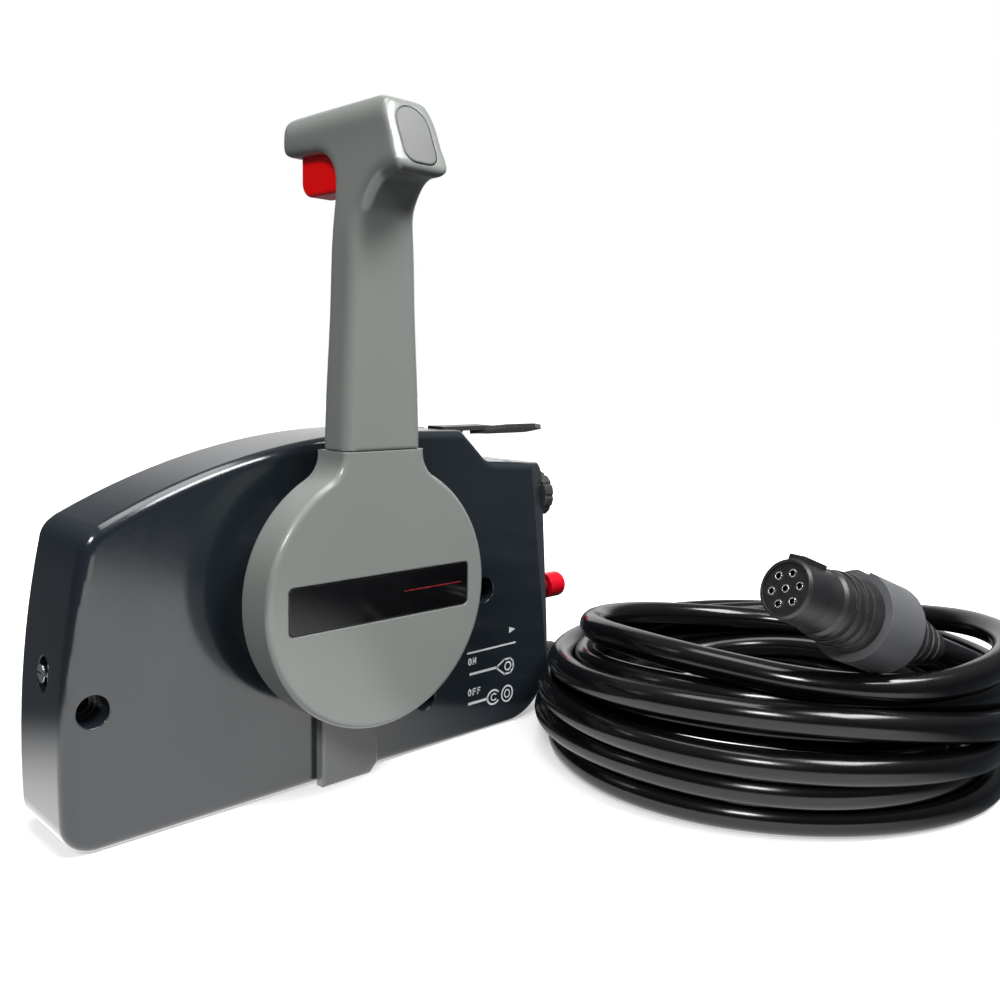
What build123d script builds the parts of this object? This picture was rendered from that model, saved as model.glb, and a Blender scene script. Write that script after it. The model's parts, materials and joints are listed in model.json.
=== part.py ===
from build123d import *
import math
import os

os.makedirs("parts", exist_ok=True)

# ---------------------------------------------------------------------------
# Side-mount remote control for an outboard engine.
# X runs along the box, +Z is up, +Y points at the panel it is bolted to.
# The origin is the lever axis where it meets the flat back face (y = 0).
# All dimensions in millimetres.
# ---------------------------------------------------------------------------

# box
floor_z = -84.0            # lowest face of the box
face_y = 45.0              # front face stands this far from the back face
cover_t = 6.0              # thickness of the back cover
wall = 3.5                 # housing wall
end_x = 130.0              # right end face
edge_r = 4.5               # rounding round the front face
cover_inset = 2.0          # the back cover is this much smaller all round

# lever hub
hub_r = 52.5
hub_front = 76.7           # front face of the hub cover
hub_back = 59.2            # rear rim of the hub cover
seam_z = 57.3              # seam between hub cover and lever arm
neck_w = 38.6

# lever arm
arm_back = 60.5
arm_front = 76.7

# main shaft and gears
shaft_r = 10.0
run_clear = 0.05           # radial running clearance of shafts in bores
gear_m = 2.0
drive_teeth = 16
shift_teeth = 40
throttle_teeth = 32
shift_cx, shift_cz = -56.0, 0.0
throttle_cx, throttle_cz = 0.0, -48.0

# mounting holes through the box (x, z)
mount_pts = [(-102.4, -31.6), (82.7, -14.4), (47.3, -58.9)]
mount_hole_r = 3.3
cbore_r = 6.0
cbore_depth = 12.0

# cover screws (x, z)
cover_pts = [(-97.0, -70.0), (-88.0, 22.0), (98.0, 32.0), (104.0, -68.0)]

# end-face fittings: key switch, stop switch, harness gland
end_y = 27.0
key_z = 26.0
stop_z = -23.5
gland_y, gland_z = 23.5, -63.5
grommet_y, grommet_z = 20.4, -44.5
cable_holes = [(-25.8, grommet_z), (-14.6, grommet_z)]

# idle (fast-idle) lever
idle_cx, idle_cz = 72.0, 53.5

# harness
cord_d = 12.0
coil_x, coil_y = 172.0, -140.0
coil_outer = 109.5
coil_inner = 74.0

# plug: centre of its lock ring and the direction its face points
plug_o = (120.0, -215.5, -2.0)
plug_dir = (-0.916, 0.187, 0.358)


def gear_points(teeth, m, first, count, phase, cx=0.0, cz=0.0, backlash=0.36, add=0.85, ded=1.15):
    """Closed outline of a full gear or of a toothed sector, as points (x, y).

    first, count: index of the first tooth and how many are cut;
    phase: angle of tooth 0 in degrees; cx, cz: centre of the gear.
    """
    rp = m * teeth / 2.0
    pa = math.radians(20.0)
    rb = rp * math.cos(pa)
    ra = rp + add * m
    rf = rp - ded * m
    half = math.pi / (2.0 * teeth) - backlash / (2.0 * rp)

    def inv(a):
        return math.tan(a) - a

    def flank(r):
        r = max(r, rb)
        return half + inv(pa) - inv(math.acos(min(1.0, rb / r)))

    radii = [max(rb, rf) + (ra - max(rb, rf)) * k / 5.0 for k in range(6)]
    pts = []
    for i in range(first, first + count):
        c = math.radians(phase) + 2.0 * math.pi * i / teeth
        side = [(r, -flank(r)) for r in radii]
        if rf < rb:
            side.insert(0, (rf, -flank(rb)))
        other = [(r, -a) for r, a in reversed(side)]
        for r, a in side + other:
            pts.append((cx + r * math.cos(c + a), cz + r * math.sin(c + a)))
    return pts


# ---------------------------------------------------------------------------
# shared profiles
# ---------------------------------------------------------------------------
with BuildSketch() as box_profile:
    with BuildLine():
        Line((-113.2, floor_z), (end_x, floor_z))
        Line((end_x, floor_z), (end_x, 43.3))
        Line((end_x, 43.3), (85.5, 46.2))
        Line((85.5, 46.2), (69.0, 61.2))
        Line((69.0, 61.2), (30.0, 61.9))
        ThreePointArc((30.0, 61.9), (-40.0, 54.3), (-103.0, 30.5))
        ThreePointArc((-103.0, 30.5), (-112.6, -30.0), (-113.2, floor_z))
    make_face()
    fillet(box_profile.vertices().sort_by_distance((-113.2, floor_z))[0], 12.0)
    fillet(box_profile.vertices().sort_by_distance((-103.0, 30.5))[0], 12.0)
    fillet(box_profile.vertices().sort_by_distance((69.0, 61.2))[0], 5.0)
    fillet(box_profile.vertices().sort_by_distance((85.5, 46.2))[0], 10.0)
    fillet(box_profile.vertices().sort_by_distance((end_x, 43.3))[0], 11.0)
    fillet(box_profile.vertices().sort_by_distance((end_x, floor_z))[0], 27.0)

with BuildSketch() as cavity_profile:
    add(box_profile.sketch)
    offset(amount=-wall)

with BuildSketch() as cover_profile:
    add(box_profile.sketch)
    offset(amount=-cover_inset)

# The front right edge is cut back by a slanted facet that is widest at the top.
facet_n = Vector(0.494, -0.866, 0.071).normalized()
facet = Plane(origin=(112.6, -face_y, 43.3), z_dir=facet_n)

# ---------------------------------------------------------------------------
# front housing
# ---------------------------------------------------------------------------
with BuildPart() as cavity_core:
    with BuildSketch(Plane.XZ.offset(cover_t)):
        add(cavity_profile.sketch)
    extrude(amount=face_y - cover_t - wall)
    split(bisect_by=facet.offset(-wall), keep=Keep.BOTTOM)
    # columns for the mounting bolts and the cover screws stay solid
    with BuildSketch(Plane.XZ.offset(cover_t)):
        with Locations(*mount_pts):
            Circle(cbore_r + 2.2)
        with Locations(*cover_pts):
            Circle(4.5)
    extrude(amount=face_y - cover_t, mode=Mode.SUBTRACT)
    # shaft boss
    with BuildSketch(Plane.XZ.offset(38.0)):
        Circle(19.0)
    extrude(amount=face_y - 38.0, mode=Mode.SUBTRACT)
    # cheeks that carry the idle lever's pin
    with BuildSketch(Plane.XZ.offset(11.0)):
        with Locations((idle_cx, idle_cz)):
            Circle(6.0)
    extrude(amount=6.0, mode=Mode.SUBTRACT)
    with BuildSketch(Plane.XZ.offset(32.0)):
        with Locations((idle_cx, idle_cz)):
            Circle(6.0)
    extrude(amount=12.0, mode=Mode.SUBTRACT)

with BuildPart() as front_housing:
    with BuildSketch(Plane.XZ.offset(cover_t)):
        add(box_profile.sketch)
    extrude(amount=face_y - cover_t)
    fillet(front_housing.faces().sort_by(Axis.Y)[0].edges(), edge_r)
    split(bisect_by=facet, keep=Keep.BOTTOM)
    add(cavity_core.part, mode=Mode.SUBTRACT)
    # shaft bore
    with BuildSketch(Plane.XZ):
        Circle(13.0)
    extrude(amount=60.0, mode=Mode.SUBTRACT)
    # mounting holes with deep counterbores
    with BuildSketch(Plane.XZ):
        with Locations(*mount_pts):
            Circle(mount_hole_r)
    extrude(amount=60.0, mode=Mode.SUBTRACT)
    with BuildSketch(Plane.XZ.offset(face_y - cbore_depth)):
        with Locations(*mount_pts):
            Circle(cbore_r)
    extrude(amount=30.0, mode=Mode.SUBTRACT)
    # pilot holes for the cover screws
    with BuildSketch(Plane.XZ.offset(cover_t)):
        with Locations(*cover_pts):
            Circle(1.6)
    extrude(amount=20.0, mode=Mode.SUBTRACT)
    # end-face openings
    with BuildSketch(Plane.YZ.offset(end_x - 20.0)):
        with Locations((-end_y, key_z)):
            Circle(9.0)
        with Locations((-end_y, stop_z)):
            Circle(6.8)
        with Locations((-gland_y, gland_z)):
            Circle(8.0)
        with Locations((-grommet_y, grommet_z)):
            SlotOverall(26.0, 14.0)
    extrude(amount=40.0, mode=Mode.SUBTRACT)
    # friction adjuster slot in the left end face
    with BuildSketch(Plane.YZ.offset(-120.0)):
        with Locations((-25.0, -21.0)):
            SlotOverall(13.0, 9.0, rotation=90)
    extrude(amount=15.0, mode=Mode.SUBTRACT)
    # slot for the idle lever in the top shoulder
    with BuildSketch(Plane.XZ.offset(17.0)):
        with Locations((76.4, 58.0)):
            Rectangle(27.2, 24.0)
        with Locations((idle_cx, idle_cz)):
            Circle(10.2)
    extrude(amount=15.0, mode=Mode.SUBTRACT)
    with BuildSketch(Plane.XZ.offset(12.0)):
        with Locations((idle_cx, idle_cz)):
            Circle(2.0 + run_clear)
    extrude(amount=25.0, mode=Mode.SUBTRACT)
    # shallow dimple on the right shoulder
    with Locations((104.0, -37.0, 47.5)):
        Sphere(3.6, mode=Mode.SUBTRACT)
front_housing.part.label = "front_housing"
export_step(front_housing.part, "parts/front_housing.step")

# ---------------------------------------------------------------------------
# back cover: flat plate with a rim, a locating lip and the inner shaft bearing
# ---------------------------------------------------------------------------
with BuildPart() as back_cover:
    with BuildSketch(Plane.XZ):
        add(cover_profile.sketch)
    extrude(amount=cover_t)
    with BuildSketch(Plane.XZ.offset(cover_t)):
        add(cavity_profile.sketch)
        offset(amount=-0.3)
    extrude(amount=2.5)
    with BuildSketch(Plane.XZ.offset(2.5)):
        add(cavity_profile.sketch)
        offset(amount=-2.8)
    extrude(amount=20.0, mode=Mode.SUBTRACT)
    # columns for bolts and screws, bearing for the shaft end
    with BuildSketch(Plane.XZ.offset(2.5)):
        with Locations(*mount_pts):
            Circle(cbore_r + 2.2)
        with Locations(*cover_pts):
            Circle(4.5)
    extrude(amount=cover_t - 2.5)
    with BuildSketch(Plane.XZ.offset(cover_t)):
        with Locations(*mount_pts):
            Circle(cbore_r + 3.2)
        with Locations(*cover_pts):
            Circle(5.5)
    extrude(amount=3.0, mode=Mode.SUBTRACT)
    with BuildSketch(Plane.XZ.offset(2.5)):
        Circle(15.0)
        Circle(shaft_r + run_clear, mode=Mode.SUBTRACT)
    extrude(amount=6.0)
    with BuildSketch(Plane.XZ):
        with Locations(*mount_pts):
            Circle(mount_hole_r)
    extrude(amount=20.0, mode=Mode.SUBTRACT)
    with BuildSketch(Plane.XZ):
        with Locations(*cover_pts):
            Circle(1.9)
    extrude(amount=20.0, mode=Mode.SUBTRACT)
    with BuildSketch(Plane.XZ):
        with Locations(*cover_pts):
            Circle(3.6)
    extrude(amount=3.2, mode=Mode.SUBTRACT)
back_cover.part.label = "back_cover"
export_step(back_cover.part, "parts/back_cover.step")

with BuildPart() as cover_screws:
    with BuildSketch(Plane.XZ.offset(0.4)):
        with Locations(*cover_pts):
            Circle(3.5)
            Rectangle(4.6, 1.0, mode=Mode.SUBTRACT)
            Rectangle(1.0, 4.6, mode=Mode.SUBTRACT)
    extrude(amount=1.6)
    with BuildSketch(Plane.XZ.offset(2.0)):
        with Locations(*cover_pts):
            Circle(3.5)
    extrude(amount=1.2)
    with BuildSketch(Plane.XZ.offset(3.2)):
        with Locations(*cover_pts):
            Circle(1.55)
    extrude(amount=16.0)
cover_screws.part.label = "cover_screws"
export_step(cover_screws.part, "parts/cover_screws.step")

# clip-on cover over the lead wires, below the hub
with BuildPart() as lead_wire_cover:
    with BuildSketch(Plane.XZ.offset(face_y)):
        with BuildLine():
            Polyline((-10.8, -36.0), (-10.8, floor_z), (13.2, floor_z),
                     (17.2, floor_z + 4.0), (17.2, -36.0), close=True)
        make_face()
    extrude(amount=5.0)
    fillet(lead_wire_cover.faces().sort_by(Axis.Y)[0].edges(), 1.3)
    with BuildSketch(Plane.XZ.offset(face_y)):
        with Locations((3.2, -59.5)):
            Rectangle(23.0, 43.0)
    extrude(amount=3.0, mode=Mode.SUBTRACT)
lead_wire_cover.part.label = "lead_wire_cover"
export_step(lead_wire_cover.part, "parts/lead_wire_cover.step")

# ---------------------------------------------------------------------------
# pivot: bushing, notched neutral plate and its screws
# ---------------------------------------------------------------------------
with BuildPart() as pivot_bushing:
    with BuildSketch(Plane.XZ.offset(38.0)):
        Circle(13.0)
    extrude(amount=12.0)
    with BuildSketch(Plane.XZ.offset(36.5)):
        Circle(17.0)
    extrude(amount=1.5)
    with BuildSketch(Plane.XZ.offset(30.0)):
        Circle(shaft_r + run_clear)
    extrude(amount=30.0, mode=Mode.SUBTRACT)
pivot_bushing.part.label = "pivot_bushing"
export_step(pivot_bushing.part, "parts/pivot_bushing.step")

plate_screw_pts = [(23.0 * math.cos(math.radians(a)), 23.0 * math.sin(math.radians(a))) for a in (30, 150, 270)]
with BuildPart() as neutral_plate:
    with BuildSketch(Plane.XZ.offset(face_y)):
        Circle(33.0)
        Circle(13.0, mode=Mode.SUBTRACT)
        with Locations((0, 33.0)):
            Rectangle(9.4, 9.0, mode=Mode.SUBTRACT)
        with Locations(*plate_screw_pts):
            Circle(2.2, mode=Mode.SUBTRACT)
    extrude(amount=4.0)
    chamfer(neutral_plate.faces().sort_by(Axis.Y)[0].edges().filter_by(GeomType.CIRCLE).sort_by(SortBy.RADIUS)[-1], 0.6)
neutral_plate.part.label = "neutral_plate"
export_step(neutral_plate.part, "parts/neutral_plate.step")

with BuildPart() as neutral_plate_screws:
    with BuildSketch(Plane.XZ.offset(face_y + 4.0)):
        with Locations(*plate_screw_pts):
            RegularPolygon(3.8, 6)
    extrude(amount=2.6)
    with BuildSketch(Plane.XZ.offset(face_y)):
        with Locations(*plate_screw_pts):
            Circle(2.15)
    extrude(amount=4.0)
neutral_plate_screws.part.label = "neutral_plate_screws"
export_step(neutral_plate_screws.part, "parts/neutral_plate_screws.step")

# ---------------------------------------------------------------------------
# hub cover: shallow round shell with a short neck that meets the lever arm
# ---------------------------------------------------------------------------
with BuildSketch() as hub_outline:
    Circle(hub_r)
    with Locations((0, seam_z - 10.0)):
        Rectangle(neck_w, 20.0)
    fillet(hub_outline.vertices().filter_by_position(Axis.Y, 40.0, 54.0), 11.0)

with BuildPart() as hub_cover:
    with BuildSketch(Plane.XZ.offset(hub_back)):
        add(hub_outline.sketch)
    extrude(amount=hub_front - hub_back)
    fillet(hub_cover.faces().sort_by(Axis.Y)[0].edges().filter_by_position(Axis.Z, -60.0, seam_z - 0.5), 2.2)
    with BuildSketch(Plane.XZ.offset(hub_back)):
        add(hub_outline.sketch)
        offset(amount=-3.0)
        with Locations((0, seam_z - 4.0)):
            Rectangle(neck_w - 6.0, 10.0)
    extrude(amount=hub_front - hub_back - 3.0, mode=Mode.SUBTRACT)
    # recess for the label plate
    with BuildSketch(Plane.XZ.offset(hub_front - 1.2)):
        RectangleRounded(87.4, 18.6, 2.2)
    extrude(amount=5.0, mode=Mode.SUBTRACT)
hub_cover.part.label = "hub_cover"
export_step(hub_cover.part, "parts/hub_cover.step")

with BuildPart() as label_plate:
    with BuildSketch(Plane.XZ.offset(hub_front - 1.2)):
        RectangleRounded(86.6, 17.8, 1.9)
    extrude(amount=1.0)
    chamfer(label_plate.faces().sort_by(Axis.Y)[0].edges(), 0.25)
label_plate.part.label = "label_plate"
export_step(label_plate.part, "parts/label_plate.step")

# ---------------------------------------------------------------------------
# lever arm with its grip: side profile crossed with front profile
# ---------------------------------------------------------------------------
with BuildPart() as arm_side:
    # local x is +Y, local y is +Z
    with BuildSketch(Plane.YZ.offset(-30.0)):
        with BuildLine():
            Line((-arm_back, 20.0), (-arm_back, 150.0))
            Spline((-arm_back, 150.0), (-57.5, 162.0), (-49.0, 169.0), (-40.0, 170.2),
                   tangents=[(0.10, 1), (1, 0.12)])
            Line((-40.0, 170.2), (-26.0, 170.6))
            Spline((-26.0, 170.6), (-19.0, 173.0), (-17.0, 179.0), (-19.5, 185.0), (-27.0, 187.3),
                   tangents=[(1, 0.25), (-1, 0)])
            Line((-27.0, 187.3), (-79.8, 186.8))
            Line((-79.8, 186.8), (-87.4, 184.2))
            Line((-87.4, 184.2), (-97.7, 159.5))
            Line((-97.7, 159.5), (-95.6, 157.2))
            Spline((-95.6, 157.2), (-86.0, 155.6), (-79.2, 148.5), (-arm_front, 136.0),
                   tangents=[(1, 0.1), (0, -1)])
            Line((-arm_front, 136.0), (-arm_front, 20.0))
            Line((-arm_front, 20.0), (-arm_back, 20.0))
        make_face()
    extrude(amount=60.0)

with BuildPart() as arm_plan_form:
    # plan of the arm, round at the inboard end of the grip
    with BuildSketch():
        with Locations((0, -79.0)):
            Rectangle(60.0, 68.0)
        with Locations((0, -37.0)):
            Rectangle(24.4, 17.0)
        with Locations((0, -28.6)):
            Circle(12.2)
    extrude(amount=200.0)

with BuildPart() as arm_front_form:
    with BuildSketch(Plane.XZ):
        with BuildLine() as arm_half:
            Line((0, 20.0), (18.5, 20.0))
            Line((18.5, 20.0), (18.5, seam_z))
            Spline((18.5, seam_z), (16.0, 112.0), (14.8, 140.0), (12.6, 160.0), (11.6, 175.0),
                   tangents=[(0, 1), (0, 1)])
            Line((11.6, 175.0), (11.6, 176.4))
            ThreePointArc((11.6, 176.4), (8.202, 184.602), (0, 188.0))
            mirror(about=Plane.YZ)
        make_face()
    extrude(amount=110.0)
    add(arm_side.part, mode=Mode.INTERSECT)
    # long edges rounded: the inboard face with the underside of the grip, then the
    # outboard face with the hollow under the grip
    for radius, mids in (
        (3.0, [(12.2, -55.0, 164.8), (11.8, -33.0, 170.4)]),
        (5.0, [(18.5, -76.7, 38.6), (16.8, -76.7, 96.6), (13.5, -80.9, 152.0)]),
    ):
        fillet([
            arm_front_form.edges().sort_by(lambda e: ((e @ 0.5) - Vector(side * x, y, z)).length)[0]
            for x, y, z in mids for side in (1, -1)
        ], radius)
    add(arm_plan_form.part, mode=Mode.INTERSECT)

# end cap on the outboard end of the grip, set into a pocket of the same shape
cap_n = Vector(0.0, -0.921, 0.389).normalized()
cap_plane = Plane(origin=(0.0, -92.3, 172.4), x_dir=(1, 0, 0), z_dir=cap_n)

with BuildSketch() as cap_outline:
    with Locations((0, 3.0)):
        Circle(7.4)
    with Locations((0, -4.65)):
        Rectangle(14.8, 15.3)
    fillet(cap_outline.vertices().filter_by_position(Axis.Y, -13.0, -12.0), 4.5)

with BuildPart() as lever_arm:
    add(arm_front_form.part)
    # root boss and root disc behind the hub cover
    with BuildSketch(Plane.XZ.offset(arm_back)):
        Circle(42.0)
    extrude(amount=6.0)
    with BuildSketch(Plane.XZ.offset(50.5)):
        Circle(18.4)
    extrude(amount=18.0)
    # the part behind the hub cover is cut back to fit inside it
    with BuildSketch(Plane.XZ.offset(72.5)):
        Rectangle(60.0, 2.0 * (seam_z + 0.25))
    extrude(amount=10.0, mode=Mode.SUBTRACT)
    with BuildSketch(Plane.XZ.offset(50.0)):
        with Locations((18.5 + 2.0, seam_z - 15.0), (-18.5 - 2.0, seam_z - 15.0)):
            Rectangle(11.0, 30.5)
    extrude(amount=40.0, mode=Mode.SUBTRACT)
    with BuildSketch(Plane.XZ.offset(arm_back)):
        Circle(42.0)
    extrude(amount=6.0)
    # bore for the main shaft
    with BuildSketch(Plane.XZ.offset(40.0)):
        Circle(shaft_r)
    extrude(amount=28.0, mode=Mode.SUBTRACT)
    with BuildSketch(Plane.XZ.offset(60.0)):
        Circle(4.2)
    extrude(amount=20.0, mode=Mode.SUBTRACT)
    # channel for the interlock rod and chamber for its spring and lock pin
    with BuildSketch(Plane.XY.offset(30.0)):
        with Locations((0, -67.0)):
            Circle(2.6)
    extrude(amount=146.0, mode=Mode.SUBTRACT)
    with BuildSketch(Plane.XY.offset(48.0)):
        with Locations((0, -67.0)):
            Circle(5.2)
    extrude(amount=26.0, mode=Mode.SUBTRACT)
    with BuildSketch(Plane.XY.offset(30.0)):
        with Locations((0, -62.0)):
            Rectangle(10.0, 17.0)
    extrude(amount=22.0, mode=Mode.SUBTRACT)
    # pocket for the trigger in the underside of the grip
    with BuildSketch(Plane.XY.offset(161.0)):
        with Locations((0, -49.45)):
            Rectangle(13.0, 44.1)
    extrude(amount=22.5, mode=Mode.SUBTRACT)
    with BuildSketch(cap_plane.offset(-3.0)):
        add(cap_outline.sketch)
    extrude(amount=12.0, mode=Mode.SUBTRACT)
lever_arm.part.label = "lever_arm"
export_step(lever_arm.part, "parts/lever_arm.step")

with BuildPart() as grip_end_cap:
    with BuildSketch(cap_plane.offset(-3.0)):
        add(cap_outline.sketch)
        offset(amount=-0.25)
    extrude(amount=3.2)
grip_end_cap.part.label = "grip_end_cap"
export_step(grip_end_cap.part, "parts/grip_end_cap.step")

# ---------------------------------------------------------------------------
# neutral interlock: trigger, rod, lock pin and return spring
# ---------------------------------------------------------------------------
with BuildPart() as neutral_trigger:
    with BuildSketch(Plane.YZ.offset(-6.1)) as trigger_face:
        with BuildLine():
            Polyline((-71.0, 162.4), (-57.0, 162.4), (-57.0, 155.2), (-28.0, 155.2),
                     (-28.0, 176.4), (-71.0, 176.4), close=True)
        make_face()
        fillet(trigger_face.vertices().sort_by_distance((-28.0, 155.2, 0))[0], 6.0)
        fillet(trigger_face.vertices().sort_by_distance((-57.0, 155.2, 0))[0], 2.5)
    extrude(amount=12.2)
    fillet(neutral_trigger.edges().filter_by_position(Axis.Z, 154.0, 157.0).filter_by(Axis.Y), 1.6)
neutral_trigger.part.label = "neutral_trigger"
export_step(neutral_trigger.part, "parts/neutral_trigger.step")

rod_y = -67.0
with BuildPart() as interlock_rod:
    with BuildSketch(Plane.XY.offset(42.0)):
        with Locations((0, rod_y)):
            Circle(2.2)
    extrude(amount=162.4 - 42.0)
    with BuildSketch(Plane.XY.offset(48.3)):
        with Locations((0, rod_y)):
            Circle(4.6)
    extrude(amount=1.2)
interlock_rod.part.label = "interlock_rod"
export_step(interlock_rod.part, "parts/interlock_rod.step")

with BuildPart() as lock_pin:
    with BuildSketch(Plane.XY.offset(33.5)):
        with Locations((0, -57.4)):
            Rectangle(8.6, 23.4)
    extrude(amount=8.5)
    chamfer(lock_pin.edges().filter_by_position(Axis.Z, 33.0, 34.0).filter_by(Axis.Y), 1.2)
lock_pin.part.label = "lock_pin"
export_step(lock_pin.part, "parts/lock_pin.step")

with BuildPart() as interlock_spring:
    with BuildLine(Plane(origin=(0, rod_y, 50.3))):
        Helix(pitch=4.4, height=22.0, radius=3.75)
    with BuildSketch(Plane(origin=(3.75, rod_y, 50.3), z_dir=(0, 1, 0.187))):
        Circle(0.6)
    sweep()
interlock_spring.part.label = "interlock_spring"
export_step(interlock_spring.part, "parts/interlock_spring.step")

# ---------------------------------------------------------------------------
# main shaft and what it carries
# ---------------------------------------------------------------------------
with BuildPart() as main_shaft:
    with BuildSketch(Plane.XZ.offset(3.6)):
        Circle(shaft_r)
    extrude(amount=66.0 - 3.6)
    with BuildSketch(Plane.XZ.offset(46.0)):
        Circle(4.0)
    extrude(amount=30.0, mode=Mode.SUBTRACT)
    chamfer(main_shaft.faces().sort_by(Axis.Y)[-1].edges(), 0.8)
main_shaft.part.label = "main_shaft"
export_step(main_shaft.part, "parts/main_shaft.step")

with BuildPart() as lever_bolt:
    with BuildSketch(Plane.XZ.offset(46.2)):
        Circle(4.0)
    extrude(amount=68.6 - 46.2)
    with BuildSketch(Plane.XZ.offset(68.6)):
        RegularPolygon(7.0, 6)
    extrude(amount=4.4)
lever_bolt.part.label = "lever_bolt"
export_step(lever_bolt.part, "parts/lever_bolt.step")

with BuildPart() as thrust_washer:
    with BuildSketch(Plane.XZ.offset(35.0)):
        Circle(15.0)
        Circle(shaft_r, mode=Mode.SUBTRACT)
    extrude(amount=1.2)
thrust_washer.part.label = "thrust_washer"
export_step(thrust_washer.part, "parts/thrust_washer.step")

with BuildPart() as drive_gear:
    with BuildSketch(Plane.XZ.offset(17.0)):
        with BuildLine():
            Polyline(*gear_points(drive_teeth, gear_m, 0, drive_teeth, 180.0), close=True)
        make_face()
        Circle(shaft_r, mode=Mode.SUBTRACT)
    extrude(amount=18.0)
drive_gear.part.label = "drive_gear"
export_step(drive_gear.part, "parts/drive_gear.step")

detent_r = 24.0
with BuildPart() as detent_disc:
    with BuildSketch(Plane.XZ.offset(11.0)):
        Circle(detent_r)
        with PolarLocations(detent_r + 2.6, 3, start_angle=60.0 - 34.0, angular_range=68.0, endpoint=True):
            Circle(4.6, mode=Mode.SUBTRACT)
        Circle(shaft_r, mode=Mode.SUBTRACT)
    extrude(amount=4.0)
    with BuildSketch(Plane.XZ.offset(15.0)):
        Circle(13.0)
        Circle(shaft_r, mode=Mode.SUBTRACT)
    extrude(amount=2.0)
detent_disc.part.label = "detent_disc"
export_step(detent_disc.part, "parts/detent_disc.step")

with BuildPart() as shaft_clip:
    with BuildSketch(Plane.XZ.offset(9.5)):
        Circle(13.2)
        Circle(shaft_r, mode=Mode.SUBTRACT)
        with Locations((0, -12.0)):
            Rectangle(7.0, 8.0, mode=Mode.SUBTRACT)
    extrude(amount=1.2)
shaft_clip.part.label = "shaft_clip"
export_step(shaft_clip.part, "parts/shaft_clip.step")

# ---------------------------------------------------------------------------
# shift train: toothed sector, arm and pin
# ---------------------------------------------------------------------------
inner_y = face_y - wall
with BuildPart() as shift_gear:
    with BuildSketch(Plane.XZ.offset(28.5)):
        with BuildLine():
            Polyline(*gear_points(shift_teeth, gear_m, -5, 10, 180.0 / shift_teeth, shift_cx, shift_cz),
                     (shift_cx, shift_cz), close=True)
        make_face()
        with Locations((shift_cx, shift_cz)):
            Circle(11.0)
            Circle(5.0 + run_clear, mode=Mode.SUBTRACT)
    extrude(amount=6.0)
shift_gear.part.label = "shift_gear"
export_step(shift_gear.part, "parts/shift_gear.step")

with BuildPart() as shift_arm:
    with BuildSketch(Plane.XZ.offset(25.5)):
        with Locations((shift_cx, shift_cz)):
            Circle(9.5)
        with Locations((shift_cx, shift_cz - 18.0)):
            Rectangle(10.0, 36.0)
        with Locations((shift_cx, shift_cz - 36.0)):
            Circle(5.0)
        with Locations((shift_cx, shift_cz)):
            Circle(5.0 + run_clear, mode=Mode.SUBTRACT)
        with Locations((shift_cx, shift_cz - 36.0)):
            Circle(2.1, mode=Mode.SUBTRACT)
    extrude(amount=3.0)
shift_arm.part.label = "shift_arm"
export_step(shift_arm.part, "parts/shift_arm.step")

with BuildPart() as shift_gear_pin:
    with BuildSketch(Plane.XZ.offset(23.6)):
        with Locations((shift_cx, shift_cz)):
            Circle(5.0)
    extrude(amount=inner_y - 23.6)
    with BuildSketch(Plane.XZ.offset(34.8)):
        with Locations((shift_cx, shift_cz)):
            Circle(8.0)
    extrude(amount=inner_y - 34.8)
    with BuildSketch(Plane.XZ.offset(23.6)):
        with Locations((shift_cx, shift_cz)):
            Circle(7.6)
    extrude(amount=1.6)
shift_gear_pin.part.label = "shift_gear_pin"
export_step(shift_gear_pin.part, "parts/shift_gear_pin.step")

# ---------------------------------------------------------------------------
# throttle train: toothed sector, arm and pin
# ---------------------------------------------------------------------------
with BuildPart() as throttle_gear:
    with BuildSketch(Plane.XZ.offset(18.5)):
        with BuildLine():
            Polyline(*gear_points(throttle_teeth, gear_m, -5, 10, 90.0 + 180.0 / throttle_teeth, throttle_cx, throttle_cz),
                     (throttle_cx, throttle_cz), close=True)
        make_face()
        with Locations((throttle_cx, throttle_cz)):
            Circle(10.0)
            Circle(5.0 + run_clear, mode=Mode.SUBTRACT)
    extrude(amount=6.0)
throttle_gear.part.label = "throttle_gear"
export_step(throttle_gear.part, "parts/throttle_gear.step")

with BuildPart() as throttle_arm:
    with BuildSketch(Plane.XZ.offset(15.5)):
        with Locations((throttle_cx, throttle_cz)):
            Circle(9.0)
        with Locations((throttle_cx, throttle_cz - 12.0)):
            Rectangle(9.0, 24.0)
        with Locations((throttle_cx, throttle_cz - 24.0)):
            Circle(4.5)
        with Locations((throttle_cx, throttle_cz)):
            Circle(5.0 + run_clear, mode=Mode.SUBTRACT)
        with Locations((throttle_cx, throttle_cz - 24.0)):
            Circle(2.1, mode=Mode.SUBTRACT)
    extrude(amount=3.0)
throttle_arm.part.label = "throttle_arm"
export_step(throttle_arm.part, "parts/throttle_arm.step")

with BuildPart() as throttle_gear_pin:
    with BuildSketch(Plane.XZ.offset(13.6)):
        with Locations((throttle_cx, throttle_cz)):
            Circle(5.0)
    extrude(amount=inner_y - 13.6)
    with BuildSketch(Plane.XZ.offset(24.8)):
        with Locations((throttle_cx, throttle_cz)):
            Circle(8.0)
    extrude(amount=inner_y - 24.8)
    with BuildSketch(Plane.XZ.offset(13.6)):
        with Locations((throttle_cx, throttle_cz)):
            Circle(7.6)
    extrude(amount=1.6)
throttle_gear_pin.part.label = "throttle_gear_pin"
export_step(throttle_gear_pin.part, "parts/throttle_gear_pin.step")

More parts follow.
